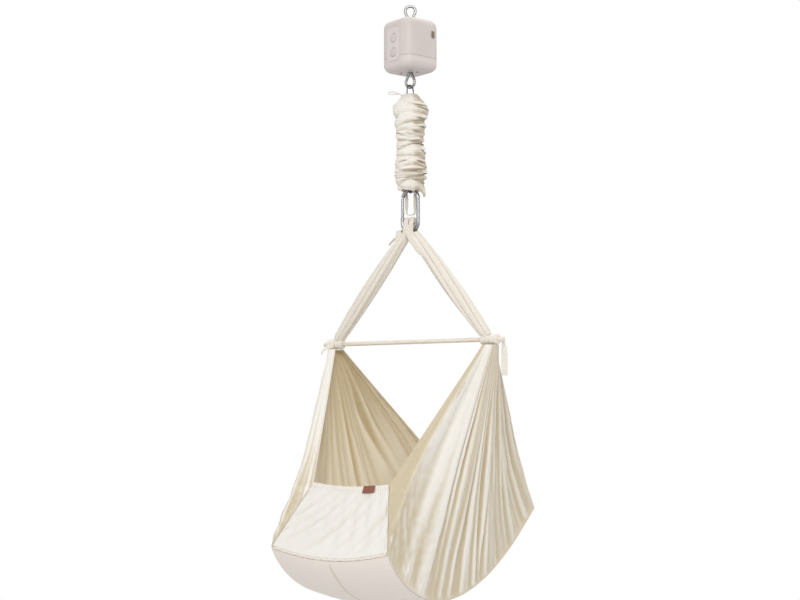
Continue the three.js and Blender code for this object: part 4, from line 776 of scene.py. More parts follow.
def make_base():
    columns, rows = ((260, 110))
    share = np.linspace(0.0028, 0.9972, columns)
    across = np.linspace(-1, 1, rows) * (1 - 2.2 / BASE_HALF_WIDTH)
    u, v = np.meshgrid(share, across, indexing="ij")
    p = base_point(u, v)
    edge = smooth((1 - np.abs(v)) / 0.05) * smooth(np.minimum(u, 1 - u) / 0.02)
    lift = 0.9 * noise_field(p, (0.012, 0.02, 0.02), 6.3) * edge
    # A groove along the middle seam, which also gets painted shade through the deep attribute
    seam = hill(p[..., 0], 0, 2.4)
    lift -= 1.3 * seam * edge
    gathers = np.cos(FULL_TURN * 58 * u + 4 * noise_field(p, 0.01, 8.8))
    lift += 0.7 * gathers * smooth((np.abs(v) - 0.86) / 0.1) * edge
    obj = cloth_object("cloth_base", p + grid_normals(p) * lift[..., None], deep=seam * edge)
    put(obj, "cotton_base", "cradle", ["base_panel"])


make_base()


def end_corners(front):
    return (FRONT_RIM, FRONT_FOOT) if front else (BACK_RIM, BACK_FOOT)


def end_point(front, u, v):
    rim, foot = end_corners(front)
    a = mix(-1, 1, u)
    rise = mix(1.8 / np.linalg.norm(rim - foot), 1, v)
    half = mix(foot[0], rim[0], rise) - 2.2
    dip = mix(CROSS_SAG, 8, rise) * (1 - a * a)
    fold = 2.5 * np.sin(math.pi * v) * np.cos(FULL_TURN * 3.5 * a + 2 * v)
    y = mix(foot[1], rim[1], rise) + fold * np.minimum(1, 6 * (1 - np.abs(a)))
    return np.stack([a * half, y, mix(foot[2], rim[2], rise) - dip], axis=-1)


END_HEIGHT = 200


def end_lift(front, p, u, v):
    """Fold heights of an end panel: a gathered casing along the top, soft slanting folds"""
    a = mix(-1, 1, u)
    below_top = (1 - v) * END_HEIGHT
    edge = smooth((1 - np.abs(a)) / 0.04)
    gather = np.cos(FULL_TURN * 34 * u + 3.5 * noise_field(p, 0.02, 2.2))
    lift = 0.9 * gather * np.exp(-np.maximum(below_top - 12, 0) / 22) * edge
    lift -= 0.8 * smooth((below_top - 9) / 2) * (1 - smooth((below_top - 13) / 2))
    lift += 0.9 * (1 - smooth((below_top - 11) / 2))
    slant = a * 0.9 - v * 1.1 * (1 if front else -1)
    terms = [(3, 3.4, 1.0), (5, 2.6, 1.0), (9, 1.2, 1.0)]
    soft = fold_sum(slant * 0.5 + 0.5, v, 5 if front else 6, terms)
    lift += soft * np.sin(math.pi * v) * edge
    lift += 1.1 * noise_field(p, (0.02, 0.02, 0.012), 9.4) * edge * smooth(v / 0.08)
    return lift


def make_end(name, front):
    columns, rows = ((240, 130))
    u, v = unit_grid(columns, rows)
    p = end_point(front, u, v)
    normal = grid_normals(p)
    sign = np.sign(normal[columns // 2, rows // 2, 1]) * (-1 if front else 1)
    lift = end_lift(front, p, u, v)
    # Painted shade in the folds' valleys
    deep = depth_of(lift, 6, 2.0) * sign
    obj = cloth_object(f"cloth_end_{name}", p + sign * normal * lift[..., None], deep=deep)
    put(obj, "cotton_white", "cradle", [f"end_panel_{name}"])


make_end("front", True)
make_end("back", False)


def make_seam(name, front):
    """The turned seam that closes an end panel to the base, and a dark cord up its edges as painted
    shade
    """
    rim, foot = end_corners(front)
    inward = 1 if front else -1
    across = np.linspace(-1, 1, 90) * (1 - 5 / BASE_HALF_WIDTH)
    line = base_point(np.full_like(across, 0.001 if front else 0.999), across)
    line[:, 1] = foot[1] + inward * 1.6
    line[:, 2] += 1.0
    line[:, 2] += 0.5 * np.sin(41 * across)
    seam = tube(f"seam_{name}", line, 3.1 + 0.2 * np.sin(60 * across), 12)
    put(seam, "cotton_base", "cradle", ())
    parts = []
    # A dark cord up each side edge stands in for the shadow in the gap there: painted shade
    for side in (-1, 1):
        edge = mix(foot, rim, np.linspace(0.015, 0.985, 60)[:, None])
        places = [side * (edge[:, 0] - 1.7), edge[:, 1] + inward * 1.4, edge[:, 2]]
        parts.append(tube(f"edge_{name}_{side}", np.stack(places, axis=1), 1.6, 8))
    put(join_objects(f"piping_{name}", parts), "shadow_cord", "cradle", ())


make_seam("front", True)
make_seam("back", False)


# Mattress: a crowned pad with drawn-in sides, on the base

PAD_MIDDLE = 21
PAD_SLACK = 4 * MM


def make_mattress():
    columns, rows = ((240, 96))
    first = 56 / (2 * BASE_HALF_LENGTH)
    last = 1 - 64 / (2 * BASE_HALF_LENGTH)
    c, s = np.cos(circle(rows)), np.sin(circle(rows))
    x = np.sign(c) * np.abs(c) ** 0.28
    h = np.sign(s) * np.abs(s) ** 0.6
    rings = []
    for i, place in enumerate(np.linspace(first, last, columns)):
        t = i / (columns - 1)
        end = math.sqrt(max(0.0, 1 - (2 * abs(t - 0.5)) ** 14))
        side = x * (1 - 17 / BASE_HALF_WIDTH) * mix(0.9, 1, end)
        ring = base_point(np.full_like(side, place), side)
        step = 0.01
        rise = base_line(place + step) - base_line(place - step)
        slope = rise / (4 * BASE_HALF_LENGTH * step)
        normal = np.array([0, -slope, 1]) / math.hypot(slope, 1)
        crown = 3.0 * (1 - x**2)
        level = PAD_MIDDLE + h * mix(5, 17, end) + np.where(h > 0, crown * h, 0) - CLOTH
        rings.append(ring + normal * level[:, None])
    rings = np.array(rings)
    wrinkle = noise_field(rings, (0.03, 0.03, 0.03), 5.5)
    centre = rings.mean(axis=1, keepdims=True)
    above = smooth((rings[..., 2] - centre[..., 2]) / 6)
    rings = rings + unit(rings - centre) * (1.2 * wrinkle * above)[..., None]
    uv = uv_pairs(np.linspace(0, 0.74, columns), np.linspace(0, 0.72, rows))
    obj = ring_object("mattress_pad", rings, uv=uv)
    relax_padding(obj)
    put(obj, "quilt", "cradle", ["mattress"])


def read_points(mesh):
    values = np.empty(len(mesh.vertices) * 3)
    mesh.vertices.foreach_get("co", values)
    return values.reshape(-1, 3)


def relax_padding(obj):
    """A light cloth pressure pass that gives the pad its slack; no point moves past PAD_SLACK"""
    remesh = obj.modifiers.new("remesh", "REMESH")
    remesh.mode = "VOXEL"
    remesh.voxel_size = 0.0055
    mesh = take_result(obj)
    work = add_object("padding_work", mesh)
    before = read_points(mesh)
    facing = np.array([vertex.normal.z for vertex in mesh.vertices])
    cloth = work.modifiers.new("cloth", "CLOTH")
    cloth.settings.use_pressure = True
    cloth.settings.uniform_pressure_force = 4
    cloth.settings.tension_stiffness = 12
    cloth.settings.bending_stiffness = 0.3
    cloth.settings.effector_weights.gravity = 0
    cloth.settings.quality = 4
    cloth.point_cache.frame_start, cloth.point_cache.frame_end = 1, 20
    for step in range(1, 21):
        bpy.context.scene.frame_set(step)
    graph = bpy.context.evaluated_depsgraph_get()
    move = read_points(work.evaluated_get(graph).to_mesh()) - before
    bpy.context.scene.frame_set(1)
    size = np.linalg.norm(move, axis=1, keepdims=True)
    move *= np.minimum(1, PAD_SLACK / np.maximum(size, TINY)) * smooth(facing / 0.5)[:, None]
    mesh.vertices.foreach_set("co", (before + move).ravel())
    bpy.data.objects.remove(work)
    swap_mesh(obj, mesh)
    shade_smooth(mesh, 60)


make_mattress()


# Slings: bands of cloth rolled and gathered between the snap hook and the bar


def sling_axis(side):
    """Both ends of a sling's middle line, its direction and the outward cross direction"""
    start = np.array([side * 7.0, 0, CARABINER_BOTTOM])
    end = np.array([side * APEX_X, 0, BAR_Z])
    direction = (end - start) / np.linalg.norm(end - start)
    return start, end, np.array([direction[2], 0, -direction[0]])


def sling_outline(share):
    puff = np.sin(math.pi * np.clip(share, 0, 1)) ** 0.8
    return mix(15, 24, puff), mix(17, 25, puff)


def rest_on_bar(points, reach):
    """Lifts the points that lie in or under the bar to a saddle on top of it"""
    aside = points[..., 1]
    top = BAR_Z + np.sqrt(np.clip(reach**2 - aside**2, 0, None))
    under = np.abs(aside) < reach
    points[..., 2] = np.where(under, np.maximum(points[..., 2], top), points[..., 2])


def make_sling(name, side):
    """A band of cloth rolled up round the sling's middle line, with ridges along it"""
    rows, turns, per_turn = ((120, 2.6, 110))
    thick = 1.9
    start, end, across = sling_axis(side)
    count = int(turns * per_turn)
    t = np.linspace(0, 1, count)
    level = mix(0.42, 1.0, t)
    seed = 21 if side > 0 else 22
    phases = np.random.default_rng(seed).uniform(0, FULL_TURN, 6)
    grid = np.zeros((rows, count, 3))
    inner = np.zeros((rows, count, 3))
    valleys = np.zeros((rows, count))
    for i, share in enumerate(np.linspace(0.03, 0.974, rows)):
        half, depth = sling_outline(share)
        twist = 0.9 * (share - 0.5) * side
        angle = FULL_TURN * turns * t + twist + (2.0 if side > 0 else 4.2)
        ridge = np.abs(np.sin(3.5 * (angle - twist) + phases[0] + 0.9 * math.sin(2.2 * share + 1)))
        minor = np.abs(np.sin(6.5 * (angle - twist) + phases[1] - 1.6 * share))
        fold = 0.20 * ridge**0.55 + 0.09 * minor**0.6 - 0.2
        calm = mix(0.55, 1, math.sin(math.pi * share))
        # Painted shade in the valleys between the ridges
        valleys[i] = np.clip(0.85 - 2.2 * ridge, 0, 1) + 0.5 * np.clip(0.6 - 2.6 * minor, 0, 1)
        radius = level * (1.0 + fold * calm) * (1 - 0.22 * smooth((share - 0.93) / 0.05))
        centre = mix(start, end, share)
        for target, off in ((grid, 0.0), (inner, thick)):
            x = (half * radius - off) * np.cos(angle)
            y = (depth * radius - off) * np.sin(angle)
            target[i] = centre + across * x[:, None] + np.array([0, 1, 0]) * y[:, None]
    ripple = noise_field(grid, (0.02, 0.05, 0.02), seed)
    grid += (grid - inner) / thick * (0.5 * ripple)[..., None]
    rest_on_bar(grid, 7.4)
    rest_on_bar(inner, 8.6)
    uv = uv_pairs(np.linspace(0, 0.4, rows), np.linspace(0, 0.42, count))
    points = np.concatenate([grid.reshape(-1, 3), inner.reshape(-1, 3)])
    faces = double_faces(rows, count)
    obj = mesh_object(f"cloth_sling_{name}", points, faces, np.concatenate([uv, uv]))
    set_depth(obj, np.concatenate([np.clip(valleys, 0, 1).ravel()] * 2))
    outward(obj)
    put(obj, "cotton", "cradle", [f"sling_{name}"])


make_sling("left", -1)
make_sling("right", 1)


# The slings' looped tops inside the snap hook: gathered folds over its lower bar


def cloth_band(name, route, wide, thick, seed, ribs=4.2, count=110, ends=1.0):
    """A folded band of cloth along a route; its ribs run with it, and ends narrows its tips"""
    line = smooth_line(route, count)
    tangent = unit(np.gradient(line, axis=0))
    across = unit(np.cross(tangent, np.cross(np.array([1.0, 0, 0]), tangent)))
    outside = np.cross(tangent, across)
    c, s = np.cos(circle(96)), np.sin(circle(96))
    place = np.sign(c) * np.abs(c) ** 0.8
    rings, deep = [], []
    for i, middle in enumerate(line):
        t = i / (len(line) - 1)
        tip = mix(ends, 1, smooth(6 * min(t, 1 - t)))
        rib = np.abs(np.sin(place * ribs + seed + 0.7 * math.sin(5 * t + seed)))
        level = thick * tip * (1 + 0.42 * (rib**0.55 - 0.6)) + 0.3 * math.sin(17 * t + seed)
        flank = across[i] * (place * wide * tip)[:, None]
        rings.append(middle + flank + outside[i] * (s * level)[:, None])
        # Painted shade in the valleys between the ribs
        deep.append(np.clip(0.9 - 1.7 * rib, 0, 1))
    band = ring_object(name, rings)
    set_depth(band, np.concatenate([np.array(deep).ravel(), [0.0, 0.0]]))
    return band


# Routes of the two loose bands: x, y and height over the snap hook's lower end
FRONT_BAND = [(-6, -13.5, 27), (-1, -16.2, 8), (9, -18.5, -14), (30, -20.5, -42), (58, -20, -74)]
TAB = [(-26, -6, -30), (-29, -7.5, -12), (-33.5, -8, -1.5), (-38.5, -7.5, -12), (-44, -6, -38)]


def make_bunch(name, side):
    """Gathered bands that go up in front of the wire, over it and down behind it"""
    rng = np.random.default_rng(31 if side > 0 else 32)
    z = CARABINER_BOTTOM
    bands = []
    for layer, (reach, rise, wide) in enumerate(((11.4, 38.5, 7.6), (12.4, 30.0, 6.6))):
        x = side * (8.8 + 0.9 * layer)
        low, middle = (side * 29, 9.0, z - 33), (side * 17.5, 11.6, z - 16)
        foot = [low, middle, (x + side * 1.5, reach + 0.6, z - 4)]
        route = [(px, -py, pz) for px, py, pz in foot]
        for angle in np.linspace(0.12, math.pi - 0.12, 11):
            over = max(0, rise * math.sin(angle) ** 0.6)
            route.append((x, -reach * math.cos(angle), z + over))
        route += foot[::-1]
        bands.append(cloth_band(f"band_{name}_{layer}", route, wide, 3.1, rng.uniform(0, 6.28)))
    loose = [(x, y, z + rise) for x, y, rise in (FRONT_BAND if side > 0 else TAB)]
    if side > 0:
        bands.append(cloth_band("band_front", loose, 9.5, 2.6, 1.4, 5.2, ends=0.55))
    else:
        bands.append(cloth_band("band_tab", loose, 7.5, 2.4, 0.6, 2.4, 70, ends=0.7))
    put(join_objects(f"sling_loops_{name}", bands), "cotton", "cradle", ())


make_bunch("left", -1)
make_bunch("right", 1)


# Spring and its scrunched cover


def make_coil():
    turns, length, radius = 18, 231, 16.5
    top = -263.5 - 2
    t = np.linspace(0, turns, turns * (40))
    z = top - (length - 4) * t / turns
    path = np.stack([radius * np.cos(FULL_TURN * t), radius * np.sin(FULL_TURN * t), z], axis=1)
    coil = tube("spring_wire", path, 2.0, 10)
    put(coil, "dark_steel", None, ["spring_coil"])
    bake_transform(coil)


make_coil()

COVER_TOP = PLUG_TOP + 6
COVER_BOTTOM = LOWER_PLUG_BOTTOM - 22
COVER_LENGTH = 267
COVER_MARK_SHARES = [0, 0.055, 0.11, 0.18, 0.27, 0.36, 0.45, 0.53, 0.62, 0.71, 0.80, 0.87, 0.93, 1]
COVER_RADII = [21, 34, 46, 47.5, 44, 42.5, 40, 38.5, 39.5, 42.5, 45.5, 46, 40.5, 37]
FOLD_SHARES = [0.03, 0.25, 0.33, 0.385, 0.44, 0.50, 0.575, 0.69, 0.77, 0.83, 0.875, 0.915, 0.955, 1]
FLAP_SIDE = 0.1


def turn_from(angle, centre):
    """The shortest turn from a centre to each angle"""
    return (angle - centre + math.pi) % FULL_TURN - math.pi


def fold_lines(rng, angle):
    """How far down the cover each fold line runs round it; the first and last stay level"""
    shares = np.array(FOLD_SHARES)
    folds = len(shares) - 1
    lines = []
    for k, share in enumerate(shares):
        room = min(np.diff(shares)[max(k - 1, 0) : k + 1])
        tilt = rng.uniform(0.25, 0.6) * room * np.cos(angle - rng.uniform(0, 6.28))
        wobble = 0.006 * np.cos(2 * angle + rng.uniform(0, 6.28))
        wobble = wobble + 0.004 * np.cos(3 * angle + rng.uniform(0, 6.28))
        lines.append(share + tilt + wobble if 0 < k < folds else np.full(len(angle), share))
    return np.array(lines)


def fold_depths(rng, angle, count):
    """How deep each fold is round the cover"""
    broad = 0.38 * np.cos(angle[None] - rng.uniform(0, 6.28, (count, 1)))
    narrow = 0.25 * np.cos(2 * angle[None] - rng.uniform(0, 6.28, (count, 1)))
    return np.clip(0.72 + broad + narrow, 0.12, 1.2)


def scrunched(p, a, angle):
    """Bulges, creases and droop of the gathered cloth at each share p down and angle a round"""
    rng = np.random.default_rng(4)
    lines = fold_lines(rng, angle)
    depth = fold_depths(rng, angle, len(lines))
    bulge, crease, droop = np.zeros_like(p), np.zeros_like(p), np.zeros_like(p)
    for k in range(len(lines) - 1):
        low, high = lines[k][None], lines[k + 1][None]
        inside = (p >= low) & (p < high)
        t = np.clip((p - low) / np.maximum(high - low, 1e-6), 0, 1)
        local = mix(depth[k][None], depth[k + 1][None], t)
        shape = np.clip(4 * t * (1 - t), 0, 1) ** 0.55
        height = np.clip(high - low, 0.02, 0.075) * COVER_LENGTH
        bulge = np.where(inside, height * 0.27 * local * shape, bulge)
        crease = np.where(inside, 5.5 * local * (1 - shape), crease)
        droop = np.where(inside, np.sin(FULL_TURN * t - 0.6) * height * 0.16 * local, droop)
    for k in range(22):
        facing = -0.45 + rng.normal(0, 0.55) if k % 3 else rng.uniform(0, 6.28)
        offset = turn_from(a, facing)
        centre = rng.uniform(0.12, 0.93) + rng.uniform(-0.04, 0.04) * offset
        reach = hill(offset, 0, rng.uniform(0.3, 0.6))
        t = (p - centre) / rng.uniform(0.008, 0.012)
        crease += rng.uniform(4.0, 7.5) * reach * hill(t, 0, 1)
        bulge += rng.uniform(2.0, 4.0) * reach * np.exp(-((t + 2.3) ** 2) / 2.2)
    flap = hill(turn_from(a, FLAP_SIDE), 0, 0.75)
    bulge += 6.5 * flap * smooth((p - 0.10) / 0.13) * (1 - smooth((p - 0.25) / 0.014))
    crease += 8.0 * flap * hill(p, 0.282, 0.017)
    return bulge, crease, droop


def ring_round(wide, deep, angle, level):
    return np.stack([wide * np.cos(angle), deep * np.sin(angle), level], axis=-1)


def cover_surface(p, a, angle):
    """The outside of the cover and its radius"""
    bulge, crease, droop = scrunched(p, a, angle)
    settle = smooth(p / 0.09)
    r = np.interp(p, COVER_MARK_SHARES, COVER_RADII) + (bulge - crease) * settle - 2.0 * settle
    z = mix(COVER_TOP, COVER_BOTTOM, p) - droop * settle
    ruffle = smooth((p - 0.93) / 0.07)
    tail = hill(turn_from(a, FLAP_SIDE) - 0.1, 0, 0.42)
    z = z - ruffle * (6 + 3 * np.cos(a + 1) + 19 * tail + 2.2 * np.sin(5 * a) + 1.4 * np.cos(9 * a))
    r = r + ruffle * (2.2 * np.cos(5 * a + 1) + 1.6 * np.cos(8 * a) + 9 * tail)
    neck = (1 - smooth((p - 0.02) / 0.16)) * smooth((p + 0.01) / 0.05)
    r = r + neck * (1.5 * np.cos(14 * a + 1.2 * np.sin(2 * a)) + 0.8 * np.cos(23 * a))
    points = ring_round(r, r, a, z)
    crumple = 2.0 * noise_field(points, (0.05, 0.05, 0.16), 2.0)
    crumple = crumple + 0.8 * noise_field(points, (0.12, 0.12, 0.3), 7.0)
    r = r + settle * crumple
    return ring_round(r, r, a, z), r


def cover_closing(angle):
    """The cloth turned in under the lower plug"""
    closing = []
    for wide, deep, drop, crumple in (
        (31, 31, 12, 1.5),
        (22, 22, 6.5, 1.0),
        (20.2, 7, 5, 0.2),
        (20.2, 7, 1.4, 0.2),
        (21.5, 21.5, 1.2, 0),
    ):
        wave = crumple * np.cos(9 * angle + wide)
        level = LOWER_PLUG_BOTTOM - drop + crumple * np.sin(7 * angle)
        closing.append(ring_round(wide + wave, deep + wave, angle, level))
    return np.array(closing)


def make_cover():
    sides, rows = ((220, 400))
    angle = circle(sides)
    place = np.linspace(0, 1, rows)
    p, a = np.meshgrid(place, angle, indexing="ij")
    outer, r = cover_surface(p, a, angle)
    sway = np.interp(p, [0, 0.3, 0.5, 0.75, 0.9, 1], [0, 0.4, -0.6, 1.6, 0.4, 0.8])
    outer[..., 0] += sway
    r = np.maximum(r, 22.5)
    hollow = np.maximum(r - 3.0, 20.0)
    inner = ring_round(hollow, hollow, a, outer[..., 2] + 0.6)
    inner[..., 0] += sway
    kept = inner[:, 0, 2] > LOWER_PLUG_BOTTOM - 0.2
    rings = np.concatenate([outer, inner[-1:], cover_closing(angle), inner[kept][::-1]])
    # Painted shade: on the side of the cover turned from the light, and in its creases, less
    # towards the ruffle
    shade = smooth((np.cos(a - 0.15) - 0.45) / 0.5)
    depth = depth_of(r, 20, 4.5) * (1 - 0.5 * smooth((p - 0.8) / 0.08))
    painted_cover_shade = np.clip(mix(0.5, 1, shade) * depth + 0.8 * shade, -1, 1)
    uv_rows = np.concatenate([place, np.linspace(1.0, 0.92, 6), place[kept][::-1]]) * 0.42
    uv = uv_pairs(uv_rows, np.linspace(0, 0.28, sides))
    obj = ring_object("spring_sleeve", rings, closed=True, uv=uv)
    hidden = (len(rings) - rows) * sides
    set_depth(obj, np.concatenate([painted_cover_shade.ravel(), np.zeros(hidden)]))
    put(obj, "cotton_cover", None, ["spring_cover"])
    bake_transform(obj)


make_cover()


# Lifting unit: smooth moulded shells with a parting groove

HOUSING_WIDTH = 125
HOUSING_HEIGHT = 148
HOUSING_CORNER = 32
HOUSING_EDGE = 22
SHELL_WALL = 3
SEAM_Z = HOUSING_TOP - 112
SEAM_GAP = 0.25
INLET_DROP = 94
PANEL_WIDTH = 54
PANEL_HEIGHT = 98
PANEL_CORNER = 13
PANEL_DROP = 74
PANEL_BEVEL = 0.8
PANEL_FACE = -63.1
PANEL_BACK = -57.2
PANEL_GAP = 0.3
BUTTON_HOLE = 13.1
NECK_HOLE = 7.3
FOOT_HOLE = 9.8
INLET_HOLE = 5.9
BUTTON_DROPS = {"upper": 57, "lower": 98}


def rounded_rect(width, depth, corner, steps):
    points = []
    for k, (side, end) in enumerate(((1, 1), (-1, 1), (-1, -1), (1, -1))):
        centre = side * (width / 2 - corner), end * (depth / 2 - corner)
        points += arc(centre, corner, QUARTER_TURN * (k + np.arange(steps + 1) / steps))
    return points


def rounded_block(name, inset):
    """The form of the housing, drawn in by inset on all sides"""
    edge = HOUSING_EDGE - inset
    steps = 14
    rings = []
    for cap in (-1, 1):
        for i in range(steps + 1):
            angle = QUARTER_TURN * i / steps
            falls = edge * (1 - math.cos(angle)), edge * (1 - math.sin(angle))
            if cap < 0:
                drop, draw = falls
                z = HOUSING_TOP - HOUSING_HEIGHT + inset + drop
            else:
                draw, drop = falls
                z = HOUSING_TOP - inset - drop
            size = HOUSING_WIDTH - 2 * inset - 2 * draw
            outline = rounded_rect(size, size, HOUSING_CORNER - inset - draw, steps)
            rings.append([(x, y, z) for x, y in outline])
    return ring_object(name, rings)


def boolean(obj, tools, operation="DIFFERENCE"):
    for tool in tools:
        modifier = obj.modifiers.new("cut", "BOOLEAN")
        modifier.operation = operation
        modifier.solver = "EXACT"
        modifier.object = tool
        swap_mesh(obj, take_result(obj))
        remove_object(tool)


def box_object(name, low, high):
    x0, y0, z0 = low
    x1, y1, z1 = high
    points = [(x, y, z) for z in (z0, z1) for y in (y0, y1) for x in (x0, x1)]
    faces = [(0, 2, 3, 1), (4, 5, 7, 6), (0, 1, 5, 4), (2, 6, 7, 3), (0, 4, 6, 2), (1, 3, 7, 5)]
    return mesh_object(name, points, faces)


def panel_block(name, grow, y0, y1, bevel=0.0):
    """The outline of the switch panel, grown by grow, from y0 to y1"""
    stations = [(y0, 0), (y1, 0)]
    if bevel:
        stations = [(y0, bevel), (y0 + bevel * 0.3, bevel * 0.3), (y0 + bevel, 0), (y1, 0)]
    rings = []
    for y, shrink in stations:
        g = grow - shrink
        outline = rounded_rect(PANEL_WIDTH + 2 * g, PANEL_HEIGHT + 2 * g, PANEL_CORNER + g, 12)
        rings.append([(x, y, z + HOUSING_TOP - PANEL_DROP) for x, z in outline])
    return ring_object(name, rings)


def lathe(name, profile, sides=40, sharp=35, axis="z", x=0.0, other=0.0):
    """Turns pairs of radius and level about a line along Z or Y, placed by x and other"""
    rings = []
    for radius, level in profile:
        ring = arc((x, other), max(radius, CLOSED_RADIUS), circle(sides))
        rings.append([(p, q, level) if axis == "z" else (p, level, q) for p, q in ring])
    return ring_object(name, rings, sharp=sharp)


def disc(name, axis, radius, low, high, x=0.0, other=0.0, sides=48):
    return lathe(name, [(radius, low), (radius, high)], sides, 50, axis, x, other)


def yawed(obj):
    obj.data.transform(Matrix.Rotation(HOUSING_YAW, 4, "Z"))
    return obj


def finish_cut(obj, sharp, bevel, bevel_from=40):
    """Clean shading and a fine rounding along the edges that cuts have left"""
    shade_smooth(obj.data, sharp)
    modifier = obj.modifiers.new("edge", "BEVEL")
    modifier.width = bevel
    modifier.segments = 2
    modifier.limit_method = "ANGLE"
    modifier.angle_limit = math.radians(bevel_from)
    weighted = obj.modifiers.new("weighted", "WEIGHTED_NORMAL")
    weighted.keep_sharp = True


def make_shell(name, low, high, key):
    obj = rounded_block(f"shell_{name}", 0)
    past = 100
    boolean(obj, [box_object("keep", (-past, -past, low), (past, past, high))], "INTERSECT")
    tools = [
        rounded_block("hollow", SHELL_WALL),
        panel_block("opening", PANEL_GAP, -70, -54),
        disc("neck", "z", NECK_HOLE, -60, 0),
        disc("foot", "z", FOOT_HOLE, -200, -180),
        disc("inlet", "y", INLET_HOLE, 50, 70, 0, HOUSING_TOP - INLET_DROP),
    ]
    boolean(obj, tools)
    yawed(obj)
    finish_cut(obj, 32, 0.0007)
    put(obj, key, "motor_unit", [f"housing_{name}"])


make_shell("upper", SEAM_Z + SEAM_GAP, 10, "housing")
make_shell("lower", -250, SEAM_Z - SEAM_GAP, "housing_low")


def make_panel():
    obj = panel_block("switch_panel", 0, PANEL_FACE, PANEL_BACK, PANEL_BEVEL)
    holes = []
    for drop in BUTTON_DROPS.values():
        holes.append(disc(f"hole_{drop}", "y", BUTTON_HOLE, -70, -50, 0, HOUSING_TOP - drop))
    boolean(obj, holes)
    yawed(obj)
    finish_cut(obj, 32, 0.0004)
    put(obj, "panel", "motor_unit", ["button_panel"])


# Pairs of radius and level: a crowned cap, a collar behind the panel and a short stem
BUTTON_PROFILE = [
    (0, -65.3),
    (6.5, -65.25),
    (9.6, -65.05),
    (11.2, -64.6),
    (12.0, -63.8),
    (12.2, -62.9),
    (12.2, -56.9),
    (14.2, -56.9),
    (14.2, -55.9),
    (2, -55.9),
    (2, -53.9),
    (0, -53.9),
]


def make_button(name, body):
    height = HOUSING_TOP - BUTTON_DROPS[name]
    obj = yawed(lathe(f"push_{name}", BUTTON_PROFILE, 56, 40, "y", 0, height))
    put(obj, "button", body, [f"button_{name}"])


make_panel()
make_button("upper", "button_up")
make_button("lower", "button_down")


# Eyes and snap hook as smooth bars


def pear_path():
    """The middle line of an eye: a ring that narrows to its neck"""
    ring, height, neck, rise = 14.5, 45, 2, 3
    centre = height - ring
    dip = math.asin(ring / math.hypot(centre, neck)) - math.atan(neck / centre)
    bow = arc((0, centre), ring, np.linspace(-dip, math.pi + dip, 15))
    points = [(neck, 0), (neck, rise / 2), *bow, (-neck, rise / 2), (-neck, 0)]
    return smooth_line([(x, 0, z) for x, z in points], 160)


# Pairs of radius and level: a flange with eased edges on a shank
STUD_PROFILE = [
    (0, 3.2),
    (5.6, 3.2),
    (6.6, 2.6),
    (7, 1.8),
    (7, -2.9),
    (6.6, -3.3),
    (4, -3.3),
    (4, -17.3),
    (0, -17.3),
]


def join_turned(name, parts, z, turn, axis):
    """Parts joined, turned about an axis, lifted to z and shaded with clean edges"""
    obj = join_objects(name, parts)
    obj.data.transform(Matrix.Translation((0, 0, z * MM)) @ Matrix.Rotation(turn, 4, axis))
    obj.data.set_sharp_from_angle(angle=math.radians(40))
    return obj


BOTTOM_EYE_Z = -186


def make_eye(name, z, turn, axis, body, node):
    parts = [tube("ring", pear_path(), 4, 20), lathe("stud", STUD_PROFILE)]
    put(join_turned(name, parts, z, turn, axis), "steel", body, [node])


make_eye("eye_top", HOUSING_TOP, math.radians(30), "Z", "motor_unit", "top_eye")
make_eye("eye_bottom", BOTTOM_EYE_Z, math.pi, "X", "lift_rod", "bottom_eye")


def carabiner_path(start_z, end_z):
    """The open line of the snap hook, from its hinge round the lower end to its nose"""
    r = CARABINER_REACH
    low, high = CARABINER_BOTTOM + r, CARABINER_TOP - r
    end = math.pi - math.asin(min(1, max(0, (end_z - high) / r)))
    lower = arc((0, low), r, np.linspace(math.pi, FULL_TURN, 13))
    upper = arc((0, high), r, np.linspace(0, end, 13))
    points = [(-r, start_z), *lower, (r, (low + high) / 2), *upper]
    return smooth_line([(x, 0, z) for x, z in points], 200)


def make_carabiner():
    hinge, nose = -607.25, -545.25
    bar = CARABINER_BAR
    obj = tube("snap_body", carabiner_path(hinge + bar, nose), bar, 24)
    tools = [
        box_object("fork", (-37, -2, hinge - 5.5), (-15, 2, hinge + 12)),
        box_object("slot", (-37, -2, nose - 5), (-15, 2, nose + 5.5)),
        disc("pin_hole", "y", 1.9, -10, 10, -CARABINER_REACH, hinge, 24),
    ]
    boolean(obj, tools)
    finish_cut(obj, 38, 0.0004, 45)
    put(obj, "carabiner", "snap_hook", ["carabiner_body"])


make_carabiner()


# Pairs of radius and level: a cap with eased edges over a neck that sits inside the coil
PLUG_PROFILE = [
    (0, -18),
    (17.9, -18),
    (18.5, -18.6),
    (18.5, -21.4),
    (17.9, -22),
    (13.1, -22),
    (13.1, -34),
    (0, -34),
]


def make_hook(name, centre, turn, body, node):
    radius, foot = 16.5, -20
    bow = arc((0, 0), radius, np.linspace(0, math.pi, 21))
    points = [(radius, foot), *bow, (-radius, foot)]
    line = smooth_line([(0, y, z) for y, z in points], 120)
    parts = [tube("bow", line, 2, 16), lathe("plug", PLUG_PROFILE, 48)]
    put(join_turned(name, parts, centre, turn, "X"), "dark_steel", body, [node])


make_hook("hook_upper", -241.2, 0, "spring_top", "spring_upper_hook")
make_hook("hook_lower", -516.8, math.pi, "spring_bottom", "spring_lower_hook")


# Bar, bar loops, strap, tapes and tag

BAR_HALF_LENGTH = 298
BAR_END = [(0, 0), (3.6, 0), (5.2, 0.8), (6, 2.4)]


